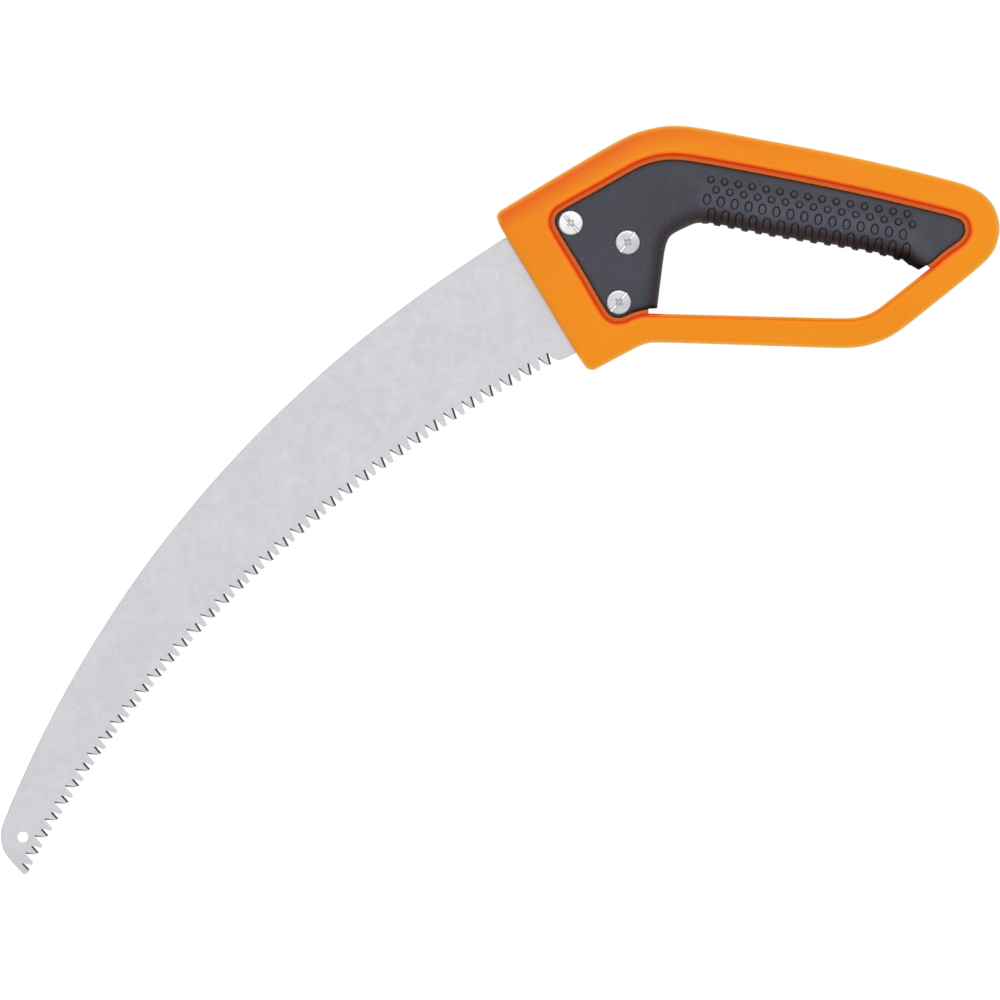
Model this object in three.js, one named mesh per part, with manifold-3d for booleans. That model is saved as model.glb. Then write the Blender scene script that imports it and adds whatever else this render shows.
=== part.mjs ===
// Fixed-blade D-handle pull saw for pruning.
//
// Drawing frame, millimetres: zero on the axis of the middle clamp screw, at the
// blade's mid-plane. +X runs along the straight guard bar towards the back of the
// handle, +Z is up out of the top of the grip, +Y points away from the screw-head
// side. The blade leaves the handle down and to the left (-X, -Z). At the end the
// whole saw is moved so that the middle of its bounding box is the origin.
//
// The handle is two moulded half shells that meet on the blade plane, near (-Y) and
// far (+Y), each with a soft grip skin set into a recess. Three slotted screws, each
// running into a sleeve nut from the other side, clamp the shells on the blade's tang.

import * as THREE from 'three';
import { mergeVertices } from 'three/addons/utils/BufferGeometryUtils.js';
import Module from 'manifold-3d';

const wasm = await Module();
wasm.setup();

// ---------------------------------------------------------------- shared sizes
// A "half" is a distance from the mid-plane, taken on either side.
const NEAR = -1;
const FAR = 1;
const CORE_HALF = 6.8;               // core under the skin
const PLANE_GAP = 0.05;              // each half stays this far off the mid-plane
const FIT_GAP = 0.3;
const BEYOND = 60;                   // a half clear of every part, for cutting tools
const OVERCUT = 1;                   // how far a tool starts outside what it cuts

// Clamp places, with the slot angles in degrees from +X towards +Z.
const CLAMPS = [
  { place: 'upper', centre: [-28.5, 9.7], screwSlot: -49, nutSlot: 12 },
  { place: 'middle', centre: [0, 0], screwSlot: 53, nutSlot: -35 },
  { place: 'lower', centre: [-4.4, -29.9], screwSlot: 49, nutSlot: 78 },
];
const HEAD_D = 12.2;
const SLEEVE_D = 7.0;
const SLEEVE_HOLE_D = SLEEVE_D + 0.6;

// -------------------------------------------------------------------- outlines
// Every outline is a list of [x, z] points.
const OUTER = [
  [17.9, 58], [12.4, 57], [4.9, 55], [1.4, 53.7], [-6.6, 49.7], [-30.6, 35.8], [-60.6, 17.7],
  [-63.4, 16], [-64.6, 15], [-65.4, 13.5], [-65.2, 11.5], [-64.4, 9.5], [-62.6, 6.6],
  [-44.1, -24.6], [-26.6, -54.2], [-21.4, -61.5], [-19.6, -63.2], [-17.6, -63.7],
  [-16.4, -63.5], [-13.6, -62], [-5.6, -57.8], [5.4, -52], [7.9, -51], [10.9, -50.2],
  [14.4, -50], [43.9, -50.8], [73.9, -51.8], [103.9, -52.7], [112.9, -52.6], [119.4, -51.6],
  [122.9, -50.6], [127.9, -48.8], [134.9, -44.8], [152.4, -31.2], [177.9, -10.2],
  [181.9, -5.8], [183.9, -2.2], [185.5, 3.5], [185.8, 6.5], [185.5, 10.5], [183.9, 15.8],
  [181.9, 19.7], [178.9, 23], [176.4, 25.1], [170.9, 28], [153.4, 33.1], [114.9, 42],
  [90.4, 47.1], [63.9, 52], [36.8, 57], [27.9, 58.1],
];
const CORE_OPENING = [
  [10.3, -35.6], [53.9, -36.7], [96.4, -37.8], [106.4, -37.9], [113.4, -37.7], [117.4, -36.8],
  [120.9, -35.7], [124.8, -33.5], [130.9, -29.2], [151.6, -13.2], [149.7, -11.6],
  [142.4, -7.2], [138.4, -4.9], [113.9, 0.5], [85.4, 5.5], [59.9, 10.1], [43.9, 13],
  [36.4, 14.1], [31.4, 13.8], [24.4, 11], [19.9, 8.3], [16.9, 5.2], [15.1, 1.5], [14.1, -3],
  [11.6, -23], [10.3, -33.8],
];

// The skin's edge at the hand opening: up its blade side, then back under the grip.
const GRIP_UNDERSIDE = [
  [59.9, 5.6], [79.4, 2], [99.4, -1.2], [113.9, -3.7], [126.9, -6.2], [138.4, -8.8],
];
const HAND_EDGE = [
  [14.3, -32.9], [17.4, -9], [18.4, -3], [19.7, 1], [21.1, 3.2], [22.9, 4.8], [28.4, 7.5],
  [33.9, 9.7], [38.9, 9.4], [43.9, 8.5], ...GRIP_UNDERSIDE,
];
// Outline of the soft skin and its recess.
const PANEL = [
  [22.4, 41.5], [16.4, 41], [8.9, 39.1], [3.4, 36.7], [-13.6, 27.1], [-31.1, 17.2],
  [-34.6, 14.8], [-36.4, 12], [-36.5, 9], [-34.9, 5.5], [-9.8, -35.5], [-8.1, -37],
  [-6.1, -37.7], [-2.6, -37.6], [2.3, -35.2], [10.3, -33.2], ...HAND_EDGE, [141.4, -11.2],
  [146.2, -13.8], [150.9, -10.9], [166.4, 0.9], [168.6, 5], [168.4, 8.7], [167.4, 10.5],
  [165.9, 11.6], [134.4, 20], [105.9, 26.6], [51.9, 37.2], [28.4, 41.2],
];
// Follows the skin along the hand opening and lies outside it elsewhere.
const SKIN_ROUND = [
  [11.6, -46.5], ...HAND_EDGE, [161.4, -20.5], [186.4, 1], [181.4, 31], [136.4, 38.5],
  [51.9, 53.5], [11.4, 56], [-41.1, 28.5], [-48.6, 8.5], [-18.6, -54],
];
const GRIP_BULGE = [
  [16.4, 26], [18.4, 2.5], [32.4, 9.3], [38.4, 9.5], ...GRIP_UNDERSIDE, [165.4, -23],
  [174.4, 1], [161.4, 18], [134.4, 24], [105.9, 30.5], [51.9, 41], [31.4, 45.5],
];

// Blade parts: the tang and spine run from the handle's top side, the nose from the spine.
const TANG = [
  [-48.6, 10.6], [-35.6, 18.8], [-28.6, 21.5], [-21.1, 22], [-8.6, 19.2], [6.4, 12.5],
  [11.4, 8], [11.9, 2], [9.4, -10], [6.9, -29], [3.4, -40], [-4.6, -46], [-15.6, -50],
  [-26.5, -55.6], [-33.6, -58.7], [-36.1, -58.2],
];
const SPINE = [
  [-62.1, 1.8], [-80.1, -10.1], [-98.1, -22.3], [-115.6, -35], [-132.3, -48],
  [-148.6, -61.7], [-164.5, -76], [-179.8, -90.5], [-194.6, -105.8], [-208.8, -121.5],
  [-222.6, -137.9], [-235.7, -154.5], [-248.4, -172], [-260.4, -190], [-271.8, -208.5],
  [-282.6, -227.5], [-293.1, -247.5], [-302.6, -267.9],
];
const NOSE = [
  [-311.2, -288], [-313.4, -294.2], [-313.5, -298], [-313, -301.2], [-311.9, -304.5],
  [-309.1, -308.5], [-302.1, -315.9], [-300.1, -315.4], [-299, -313.5],
];

// ------------------------------------------------------------ outline helpers
function signedArea(outline) {
  const doubled = outline.reduce((sum, [x, z], i) => {
    const [nextX, nextZ] = outline[(i + 1) % outline.length];
    return sum + x * nextZ - nextX * z;
  }, 0);
  return doubled / 2;
}

// Moves every edge of a closed outline outwards by a distance.
function grown(outline, distance) {
  const LEAST_DIVISOR = 0.3;         // limits the reach of sharp corners
  const count = outline.length;
  const turn = Math.sign(signedArea(outline));
  const outward = ([x0, z0], [x1, z1]) => {
    const length = Math.hypot(x1 - x0, z1 - z0);
    return [turn * (z1 - z0) / length, -turn * (x1 - x0) / length];
  };
  return outline.map((point, i) => {
    const before = outward(outline[(i + count - 1) % count], point);
    const after = outward(point, outline[(i + 1) % count]);
    const divisor = 1 + before[0] * after[0] + before[1] * after[1];
    const reach = distance / Math.max(LEAST_DIVISOR, divisor);
    return point.map((value, axis) => value + reach * (before[axis] + after[axis]));
  });
}

function circle([x, z], diameter, segments) {
  return Array.from({ length: segments }, (_, i) => {
    const angle = 2 * Math.PI * i / segments;
    return [x + diameter / 2 * Math.cos(angle), z + diameter / 2 * Math.sin(angle)];
  });
}

// -------------------------------------------------------------- solid helpers
function solid(geometry) {
  const bare = geometry.clone();
  bare.deleteAttribute('normal');
  bare.deleteAttribute('uv');
  const merged = mergeVertices(bare, 1e-5);
  return new wasm.Manifold(new wasm.Mesh({
    numProp: 3,
    vertProperties: new Float32Array(merged.attributes.position.array),
    triVerts: new Uint32Array(merged.index.array),
  }));
}

// Extrudes an X-Z outline; the unbevelled part ends at yTop and runs towards -Y.
function extruded(outline, holes, yTop, options) {
  const vectors = (points) => points.map(([x, z]) => new THREE.Vector2(x, z));
  const shape = new THREE.Shape(vectors(outline));
  shape.holes = holes.map((hole) => new THREE.Path(vectors(hole)));
  const geometry = new THREE.ExtrudeGeometry(shape, options);
  geometry.rotateX(Math.PI / 2);
  geometry.translate(0, yTop, 0);
  return solid(geometry);
}

// An outline standing between two Y planes.
function prism(outline, y0, y1, holes = []) {
  return extruded(outline, holes, y1, { depth: y1 - y0, bevelEnabled: false });
}

// An outline standing between two distances from the mid-plane, on one side.
function sidePrism(side, outline, from, to) {
  return side === NEAR ? prism(outline, -to, -from) : prism(outline, from, to);
}

// A slab centred on the mid-plane, rounded by "deep" along Y and "wide" in plane.
function roundedSlab(outline, { half, deep, wide, segments }, holes = []) {
  return extruded(outline, holes, half - deep, {
    depth: 2 * (half - deep),
    bevelEnabled: true,
    bevelThickness: deep,
    bevelSize: wide,
    bevelOffset: -wide,
    bevelSegments: segments,
  });
}

// Cuts a round hole at each clamp, on one side.
function drillClamps(body, side, { diameter, segments, from }) {
  return CLAMPS.reduce((rest, { centre }) => (
    rest.subtract(sidePrism(side, circle(centre, diameter, segments), from, BEYOND))
  ), body);
}

// ------------------------------------------------------------------ materials
const MATERIALS = {
  hardShell: { color: 0xef8a22, roughness: 0.42, metalness: 0.0 },
  softSkin: { color: 0x47464d, roughness: 0.62, metalness: 0.0 },
  bladeSteel: { color: 0xc9cbd0, roughness: 0.38, metalness: 0.95 },
  brightSteel: { color: 0xd7d9dc, roughness: 0.3, metalness: 1.0 },
};

function toMesh(body, name, finish) {
  const { vertProperties, triVerts } = body.getMesh();
  const geometry = new THREE.BufferGeometry();
  const positions = new Float32Array(vertProperties);
  geometry.setAttribute('position', new THREE.BufferAttribute(positions, 3));
  geometry.setIndex(new THREE.BufferAttribute(new Uint32Array(triVerts), 1));
  geometry.computeVertexNormals();
  const mesh = new THREE.Mesh(geometry, new THREE.MeshStandardMaterial(finish));
  mesh.name = name;
  return mesh;
}

// ----------------------------------------------------------------------- blade
const BLADE_HALF = 1.3 / 2;
const TIP_HOLE = { centre: [-302.4, -297.3], diameter: 5.4 };   // hanging hole
const HOLE_SEGMENTS = 20;            // clamp holes in the blade and shells

// Tooth tips and gullets along the edge, from the point (t = 0) to the heel (t = 1).
// Every second tooth is ground from the other face, so the two kinds are spaced in
// pairs; each has its own curve. Coefficients are for t^4 .. t^0.
const TEETH = 72;
const TOOTH_KINDS = [
  {
    tip: {
      x: [-7.09, 10.593, 88.343, 166.805, -297.838],
      z: [-21.137, 29.611, -64.318, 305.003, -310.07],
    },
    gullet: {
      x: [7.285, -17.426, 105.219, 162.517, -301.708],
      z: [-28.679, 44.936, -72.989, 309.088, -310.522],
    },
  },
  {
    tip: {
      x: [0.979, -6.32, 97.785, 166.017, -297.206],
      z: [-29.382, 48.842, -78.857, 307.937, -309.341],
    },
    gullet: {
      x: [4.802, -16.224, 109.402, 160.347, -303.017],
      z: [-27.639, 40.229, -68.151, 307.328, -310.124],
    },
  },
];

// A gullet before each tooth tip, and one more after the last.
function toothedEdge() {
  const polynomial = (coefficients, t) => coefficients.reduce((sum, c) => sum * t + c, 0);
  const pointOn = (curve, t) => [polynomial(curve.x, t), polynomial(curve.z, t)];
  const edge = [];
  for (let i = 0; i <= TEETH; i++) {
    const t = i / (TEETH - 1);
    const { tip, gullet } = TOOTH_KINDS[i % 2];
    edge.push(pointOn(gullet, t));
    if (i < TEETH) edge.push(pointOn(tip, t));
  }
  return edge;
}

function sawBlade() {
  const outline = [...NOSE, ...toothedEdge(), ...[...TANG].reverse(), ...SPINE];
  return prism(outline, -BLADE_HALF, BLADE_HALF, [
    ...CLAMPS.map(({ centre }) => circle(centre, SLEEVE_HOLE_D, HOLE_SEGMENTS)),
    circle(TIP_HOLE.centre, TIP_HOLE.diameter, 28),
  ]);
}

// ---------------------------------------------------------------------- shells
const RIM = { half: 11.0, deep: 3.0, wide: 3.0, segments: 4 };   // hard rim and guard bar
const LEDGE_HALF = 9.0;              // shallow step round the soft skin
const LEDGE_WIDTH = 2.9;
const TANG_MOUTH = [[-36, -60], [-90, -75], [-93.5, -19]];   // slot corners past the rim
const HANDLE_FRAME = [[-100, -100], [220, -100], [220, 90], [-100, 90]];   // clears the handle

// Locating pins moulded on the near shell, sockets in the far one.
const PINS = [[13.9, 49.5], [86.4, 38], [170.4, 9], [138.9, -31.5], [10.9, -43.2]];
const PIN_D = 4.0;
const PIN_LENGTH = 3.0;
const PIN_ROOT = 2;                  // how far a pin is sunk into the near shell
const PIN_SEGMENTS = 12;
const SOCKET_D = PIN_D + 0.7;
const SOCKET_DEPTH = PIN_LENGTH + 0.5;

// Weight-saving pockets opened from the mid-plane, with ribs left between them.
const GUARD_POCKET_DEPTH = 7.6;
const GUARD_POCKET_HEIGHT = 8.6;
const GUARD_POCKETS = [              // bottom edge: x0, z0, x1, z1
  [21, -47.2, 41, -47.8],
  [44, -47.9, 64, -48.4],
  [67, -48.5, 87, -49.1],
  [90, -49.2, 108, -49.6],
].map(([x0, z0, x1, z1]) => [
  [x0, z0], [x0, z0 + GUARD_POCKET_HEIGHT], [x1, z1 + GUARD_POCKET_HEIGHT], [x1, z1],
]);
const GRIP_POCKET_DEPTH = 4.4;
const GRIP_POCKETS = [
  [[24, 46], [24, 18], [34, 18], [34, 44.5]],
  [[37, 43.8], [37, 18.5], [58, 14.8], [58, 39.8]],
  [[61, 39.2], [61, 14.2], [80, 10.8], [80, 35]],
  [[93, 32.4], [93, 8.6], [112, 4.8], [112, 28.2]],
  [[115, 27.6], [115, 4.2], [136, -0.2], [136, 22.8]],
  [[139, 22], [139, -0.8], [150, -4.5], [160, 3.2], [160, 17.5]],
];

// The whole handle body, slotted for the tang.
const tangSlot = grown([...TANG, ...TANG_MOUTH], FIT_GAP);
const bothShells = roundedSlab(OUTER, RIM, [CORE_OPENING])
  .subtract(prism(tangSlot, -BLADE_HALF - FIT_GAP, BLADE_HALF + FIT_GAP));

function shell(side) {
  let body = bothShells.intersect(sidePrism(side, HANDLE_FRAME, PLANE_GAP, BEYOND));
  const cut = (outline, from, to) => {
    body = body.subtract(sidePrism(side, outline, from, to));
  };
  cut(grown(PANEL, LEDGE_WIDTH), LEDGE_HALF, BEYOND);
  cut(grown(PANEL, FIT_GAP), CORE_HALF, BEYOND);
  body = drillClamps(body, side, {
    diameter: SLEEVE_HOLE_D, segments: HOLE_SEGMENTS, from: -OVERCUT,
  });
  for (const pocket of GUARD_POCKETS) cut(pocket, -OVERCUT, GUARD_POCKET_DEPTH);
  for (const pocket of GRIP_POCKETS) cut(pocket, -OVERCUT, GRIP_POCKET_DEPTH);
  for (const centre of PINS) {
    if (side === NEAR) {
      body = body.add(prism(circle(centre, PIN_D, PIN_SEGMENTS), -PIN_ROOT, PIN_LENGTH));
    } else {
      cut(circle(centre, SOCKET_D, PIN_SEGMENTS), -OVERCUT, SOCKET_DEPTH);
    }
  }
  return body;
}

// ------------------------------------------------------------------ grip skins
// The skin lies in the recess and wraps over the core's edge inside the opening.
const SKIN_FLAT = { half: 9.8, deep: 6.0, wide: 7.5, segments: 4 };
const SKIN_SWELL = { half: 14.5, deep: 14.0, wide: 12.0, segments: 6 };
const SKIN_BED_GAP = 0.1;            // between the core and the skin on it
const COUNTERBORE_D = HEAD_D + 0.6;

const bothSkins = roundedSlab(SKIN_ROUND, SKIN_FLAT).add(roundedSlab(GRIP_BULGE, SKIN_SWELL));
const wrapOpening = grown(CORE_OPENING, -FIT_GAP / 2);

function skin(side) {
  const wrap = sidePrism(side, wrapOpening, PLANE_GAP, BEYOND)
    .intersect(sidePrism(side, PANEL, PLANE_GAP, BEYOND));
  const bed = sidePrism(side, PANEL, CORE_HALF + SKIN_BED_GAP, BEYOND).add(wrap);
  return drillClamps(bothSkins.intersect(bed), side, {
    diameter: COUNTERBORE_D, segments: 32, from: CORE_HALF - OVERCUT,
  });
}

// ------------------------------------------------------------- clamp fasteners
// Both are turned about Y with the head outermost at +Y.
const HEAD_R = HEAD_D / 2;
const HEAD_TOP = 10.3;               // outer face of a head, from the mid-plane
const HEAD_SEAT = 6.9;
const SLOT_WIDTH = 1.2;
const SLOT_DEPTH = 1.2;
const SHANK_R = 4.7 / 2;
const SHANK_END = 6.0;               // how far the shank reaches past the mid-plane
const SHANK_CHAMFER = 0.6;
const SLEEVE_R = SLEEVE_D / 2;
const SLEEVE_END = 5.2;              // how far the sleeve reaches past the mid-plane
const SLEEVE_CHAMFER = 0.3;
const BORE_R = 5.3 / 2;

// Profiles are [radius, y], ending with the head.
const HEAD_PROFILE = [
  [HEAD_R, HEAD_SEAT], [HEAD_R, HEAD_TOP - 0.8], [HEAD_R - 0.7, HEAD_TOP - 0.15],
  [HEAD_R - 2.4, HEAD_TOP], [0, HEAD_TOP],
];
const SCREW_PROFILE = [
  [0, -SHANK_END], [SHANK_R - SHANK_CHAMFER, -SHANK_END],
  [SHANK_R, -SHANK_END + SHANK_CHAMFER], [SHANK_R, HEAD_SEAT], ...HEAD_PROFILE,
];
const NUT_PROFILE = [                // starts at the bore's conical bottom
  [0, HEAD_SEAT + 1.2], [BORE_R, HEAD_SEAT + 0.2], [BORE_R, -SLEEVE_END],
  [SLEEVE_R - SLEEVE_CHAMFER, -SLEEVE_END], [SLEEVE_R, -SLEEVE_END + SLEEVE_CHAMFER],
  [SLEEVE_R, HEAD_SEAT], ...HEAD_PROFILE,
];

function fastener(profile, slotDegrees, name, [x, z]) {
  const points = profile.map(([radius, y]) => new THREE.Vector2(radius, y));
  const slot = new THREE.BoxGeometry(HEAD_D + 2 * OVERCUT, 2 * SLOT_DEPTH, SLOT_WIDTH);
  slot.rotateY(-THREE.MathUtils.degToRad(slotDegrees));
  slot.translate(0, HEAD_TOP, 0);
  const body = solid(new THREE.LatheGeometry(points, 24)).subtract(solid(slot));
  const mesh = toMesh(body, name, MATERIALS.brightSteel);
  mesh.position.set(x, 0, z);
  return mesh;
}

function sleeveNut({ place, centre, nutSlot }) {
  return fastener(NUT_PROFILE, nutSlot, `sleeve_nut_${place}`, centre);
}

// Turned over to put its head on the near side, which also reverses the slot angle.
function clampScrew({ place, centre, screwSlot }) {
  const screw = fastener(SCREW_PROFILE, -screwSlot, `clamp_screw_${place}`, centre);
  screw.rotation.x = Math.PI;
  return screw;
}

// -------------------------------------------------------------------- assembly
const saw = new THREE.Group();
saw.name = 'pruning_saw';
saw.add(
  toMesh(sawBlade(), 'saw_blade', MATERIALS.bladeSteel),
  toMesh(shell(NEAR), 'near_shell', MATERIALS.hardShell),
  toMesh(shell(FAR), 'far_shell', MATERIALS.hardShell),
  toMesh(skin(NEAR), 'near_grip_skin', MATERIALS.softSkin),
  toMesh(skin(FAR), 'far_grip_skin', MATERIALS.softSkin),
);
for (const clamp of CLAMPS) saw.add(sleeveNut(clamp), clampScrew(clamp));

const middle = new THREE.Box3().setFromObject(saw).getCenter(new THREE.Vector3());
saw.position.copy(middle).negate();

export default saw;
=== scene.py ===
"""A curved saw blade clamped in a closed orange handle with a soft black grip.

The saw lies in the X-Z plane with its thickness along Y. The blade runs from the handle toward
-X and -Z. The near half of the handle is at -Y (side -1), the far half at +Y (side 1), and both
come from the same outlines. Outlines are (x, z) in millimetres from the middle clamp screw's
axis; a height is the distance in millimetres outward from the parting plane y = 0.
"""

import math

import bpy
import numpy as np
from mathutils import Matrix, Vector
from mathutils.geometry import delaunay_2d_cdt


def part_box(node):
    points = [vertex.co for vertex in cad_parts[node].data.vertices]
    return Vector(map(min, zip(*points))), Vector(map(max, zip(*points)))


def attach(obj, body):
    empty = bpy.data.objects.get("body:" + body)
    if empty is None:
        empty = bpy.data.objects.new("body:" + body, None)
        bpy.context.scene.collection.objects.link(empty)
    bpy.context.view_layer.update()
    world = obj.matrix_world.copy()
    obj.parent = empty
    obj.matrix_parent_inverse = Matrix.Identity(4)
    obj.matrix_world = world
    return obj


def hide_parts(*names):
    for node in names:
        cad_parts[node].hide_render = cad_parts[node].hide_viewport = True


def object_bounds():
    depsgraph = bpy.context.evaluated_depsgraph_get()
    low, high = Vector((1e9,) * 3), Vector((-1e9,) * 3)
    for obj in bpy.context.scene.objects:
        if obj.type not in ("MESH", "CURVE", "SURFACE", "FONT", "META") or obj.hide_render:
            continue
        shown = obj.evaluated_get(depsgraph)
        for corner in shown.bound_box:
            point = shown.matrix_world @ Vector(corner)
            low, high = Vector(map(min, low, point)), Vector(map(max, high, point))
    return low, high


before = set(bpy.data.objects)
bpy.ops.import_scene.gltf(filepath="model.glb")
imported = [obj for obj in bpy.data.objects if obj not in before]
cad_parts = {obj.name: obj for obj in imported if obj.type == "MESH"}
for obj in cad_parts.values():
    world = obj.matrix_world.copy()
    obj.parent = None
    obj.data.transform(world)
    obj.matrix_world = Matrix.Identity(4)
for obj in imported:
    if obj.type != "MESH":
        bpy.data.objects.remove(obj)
cad_low, cad_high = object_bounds()
screw_low, screw_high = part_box("clamp_screw_middle")
ORIGIN_X = (screw_low.x + screw_high.x) * 500.0
ORIGIN_Z = (screw_low.z + screw_high.z) * 500.0

# ------------------------------------------------------------------ outlines, (x, z) in mm
# The handle's outside, counter-clockwise from the top.
OUTER = [
    (17.9, 58.05), (12.4, 57.05), (4.9, 55.05), (1.4, 53.7), (-6.6, 49.7), (-30.6, 35.75),
    (-60.6, 17.7), (-63.35, 16), (-64.6, 15), (-65.4, 13.5), (-65.15, 11.5), (-64.35, 9.5),
    (-62.8, 6.47), (-44.1, -24.6), (-26.36, -54.06), (-21.45, -61.58), (-19.7, -63.35),
    (-17.6, -63.7), (-16.4, -63.5), (-13.6, -62), (-5.6, -57.75), (5.4, -52), (7.9, -51),
    (10.9, -50.15), (14.4, -50), (43.9, -50.75), (73.9, -51.75), (103.9, -52.7),
    (112.9, -52.55), (119.4, -51.55), (122.9, -50.55), (127.9, -48.75), (134.9, -44.8),
    (152.4, -31.2), (177.9, -10.25), (181.9, -5.8), (183.9, -2.25), (185.5, 3.5),
    (185.85, 6.5), (185.55, 10.5), (183.9, 15.85), (181.9, 19.7), (178.9, 23.05),
    (176.4, 25.1), (170.9, 28), (153.4, 33.1), (114.9, 42.05), (90.4, 47.1), (63.9, 52),
    (36.85, 57), (27.9, 58.15)]
# The soft skin's edge against the hard shell, from the lower front corner round to the back end.
SKIN_BORDER = [
    (14.75, -32.95), (10.34, -33.17), (2.24, -35.02), (-2.71, -37.22), (-6.06, -37.35),
    (-7.96, -36.77), (-9.58, -35.35), (-22.09, -14.44), (-34.43, 5.75), (-36, 9.12),
    (-35.96, 11.87), (-34.34, 14.49), (-30.86, 16.8), (-13.33, 26.61), (3.65, 36.24),
    (9.05, 38.64), (16.49, 40.56), (22.4, 40.98), (28.32, 40.61), (51.79, 36.65),
    (105.77, 25.98), (134.26, 19.5), (165.78, 11.19), (167.02, 10.17), (167.89, 8.59),
    (168.27, 5.08), (165.93, 1.42), (158.1, -4.33), (150.66, -10.56), (145.5, -13.75)]
# Its free edge inside the hand opening, from the back end to the lower front corner.
SKIN_FREE = [
    (145.5, -13.75), (141.2, -11.2), (138.4, -8.9), (134.5, -7.77), (126.9, -5.52),
    (113.9, -2.92), (99.4, -0.47), (79.4, 2.63), (68.7, 4.5), (59.9, 6.15), (43.9, 9.36),
    (40, 9.83), (36.5, 9.8), (33.7, 9.45), (28.55, 7.3), (23.1, 4.5), (21.25, 3), (20, 0.95),
    (18.75, -3.05), (17.8, -9.05), (16.25, -21.05), (14.75, -32.95)]
# The hard core's edge in the hand opening: along the guard bar, then hidden by the skin.
GUARD_INNER = [
    (10.35, -35.55), (32, -36.1), (53.9, -36.65), (96.4, -37.75), (106.4, -37.95),
    (113.4, -37.65), (117.4, -36.8), (120.9, -35.65), (124.85, -33.5), (130.75, -29),
    (141.8, -20.3), (151.3, -12.8)]
CORE_HIDDEN = [
    (149.4, -11.15), (142.4, -7.25), (138.4, -4.9), (113.9, 0.5), (85.4, 5.5), (59.9, 10.1),
    (43.9, 13), (36.4, 14.1), (31.4, 13.8), (24.4, 11), (19.9, 8.35), (16.9, 5.25),
    (15.15, 1.5), (14.15, -3), (11.65, -23), (10.35, -33.8)]
# The blade's back, from the handle to the point.
SPINE = [
    (-62.1, 1.8), (-80.1, -10.1), (-98.1, -22.35), (-115.55, -35), (-132.3, -48),
    (-148.6, -61.65), (-164.45, -76), (-179.75, -90.5), (-194.6, -105.85), (-208.8, -121.5),
    (-222.6, -137.95), (-235.7, -154.5), (-248.35, -172), (-260.35, -190), (-271.8, -208.5),
    (-282.6, -227.5), (-293.05, -247.5), (-302.6, -267.85), (-311.2, -288),
    (-313.35, -294.25), (-313.45, -298), (-313, -301.25), (-311.85, -304.5),
    (-309.1, -308.5), (-305.6, -312.2), (-302.1, -315.95)]
# The blade's end inside the handle, from the spine round to the heel.
TANG = [
    (-48.6, 10.6), (-35.6, 18.75), (-28.6, 21.5), (-21.1, 22), (-8.6, 19.25), (6.4, 12.5),
    (11.4, 8), (11.9, 2), (9.4, -10), (6.9, -29), (3.4, -40), (-4.6, -46), (-15.6, -50),
    (-26.5, -55.6), (-33.6, -58.7), (-36.1, -58.15)]
HEEL = [
    (-39.1, -55.9), (-38.3, -56.9), (-37.2, -57.9), (-36.1, -58.3), (-34.8, -58.75),
    (-33.6, -58.7), (-31.5, -57.9), (-26.5, -55.6)]
# The straight lower front edge of the handle, where the blade comes out.
NOSE = np.array([(-62.8, 6.47), (-44.1, -24.6), (-26.36, -54.06)])

PLACES = {"upper": (-28.5, 9.7), "middle": (0.0, 0.0), "lower": (-4.4, -29.9)}
HOLES = list(PLACES.values())

# Heights of the handle's parts.
RIM, GUARD_LEVEL, LEDGE, CORE, SKIN = 11.0, 10.15, 9.3, 6.8, 9.8
SEAM = 0.06


# ------------------------------------------------------------------ plane geometry
def blend(t, start, end, first, last):
    return (end - t) / (end - start) * first + (t - start) / (end - start) * last


def spline(points, closed, step):
    """Centripetal Catmull-Rom curve through the points, in pieces no longer than about step."""
    points = np.asarray(points, float)
    count = len(points)
    curve = []
    for i in range(count if closed else count - 1):
        if closed:
            four = [points[(i + k) % count] for k in (-1, 0, 1, 2)]
        else:
            start, end = points[i], points[i + 1]
            before = points[i - 1] if i else 2 * start - end
            after = points[i + 2] if i + 2 < count else 2 * end - start
            four = [before, start, end, after]
        knots = [0.0]
        for here, there in zip(four, four[1:]):
            knots.append(knots[-1] + math.dist(here, there) ** 0.5)
        pieces = max(1, int(math.ceil(math.dist(four[1], four[2]) / step)))
        for k in range(pieces):
            t = knots[1] + (knots[2] - knots[1]) * k / pieces
            first = [blend(t, knots[j], knots[j + 1], four[j], four[j + 1]) for j in range(3)]
            second = [blend(t, knots[j], knots[j + 2], first[j], first[j + 1]) for j in range(2)]
            curve.append(blend(t, knots[1], knots[2], *second))
    if not closed:
        curve.append(points[-1])
    return np.array(curve)


def even(line, step, closed=False, passes=0):
    """The same line with evenly spaced points, optionally smoothed along its length."""
    if closed:
        line = np.vstack([line, line[:1]])
    length = np.concatenate([[0], np.cumsum(np.hypot(*np.diff(line, axis=0).T))])
    count = max(3, int(round(length[-1] / step)))
    t = np.linspace(0, length[-1], count + 1)
    out = np.column_stack([np.interp(t, length, line[:, 0]), np.interp(t, length, line[:, 1])])
    if closed:
        out = out[:-1]
    for _ in range(passes):
        if closed:
            out = 0.25 * np.roll(out, 1, 0) + 0.5 * out + 0.25 * np.roll(out, -1, 0)
        else:
            out[1:-1] = 0.25 * out[:-2] + 0.5 * out[1:-1] + 0.25 * out[2:]
    return out


def ccw(loop):
    """The loop, turned to run counter-clockwise."""
    x, z = loop[:, 0], loop[:, 1]
    area = np.sum(x * np.roll(z, -1) - np.roll(x, -1) * z)
    return loop if area > 0 else loop[::-1]


def left_normals(line, closed):
    along = np.roll(line, -1, 0) - np.roll(line, 1, 0) if closed else np.gradient(line, axis=0)
    along = along / np.maximum(np.hypot(along[:, 0], along[:, 1])[:, None], 1e-9)
    return np.column_stack([-along[:, 1], along[:, 0]])


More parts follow.
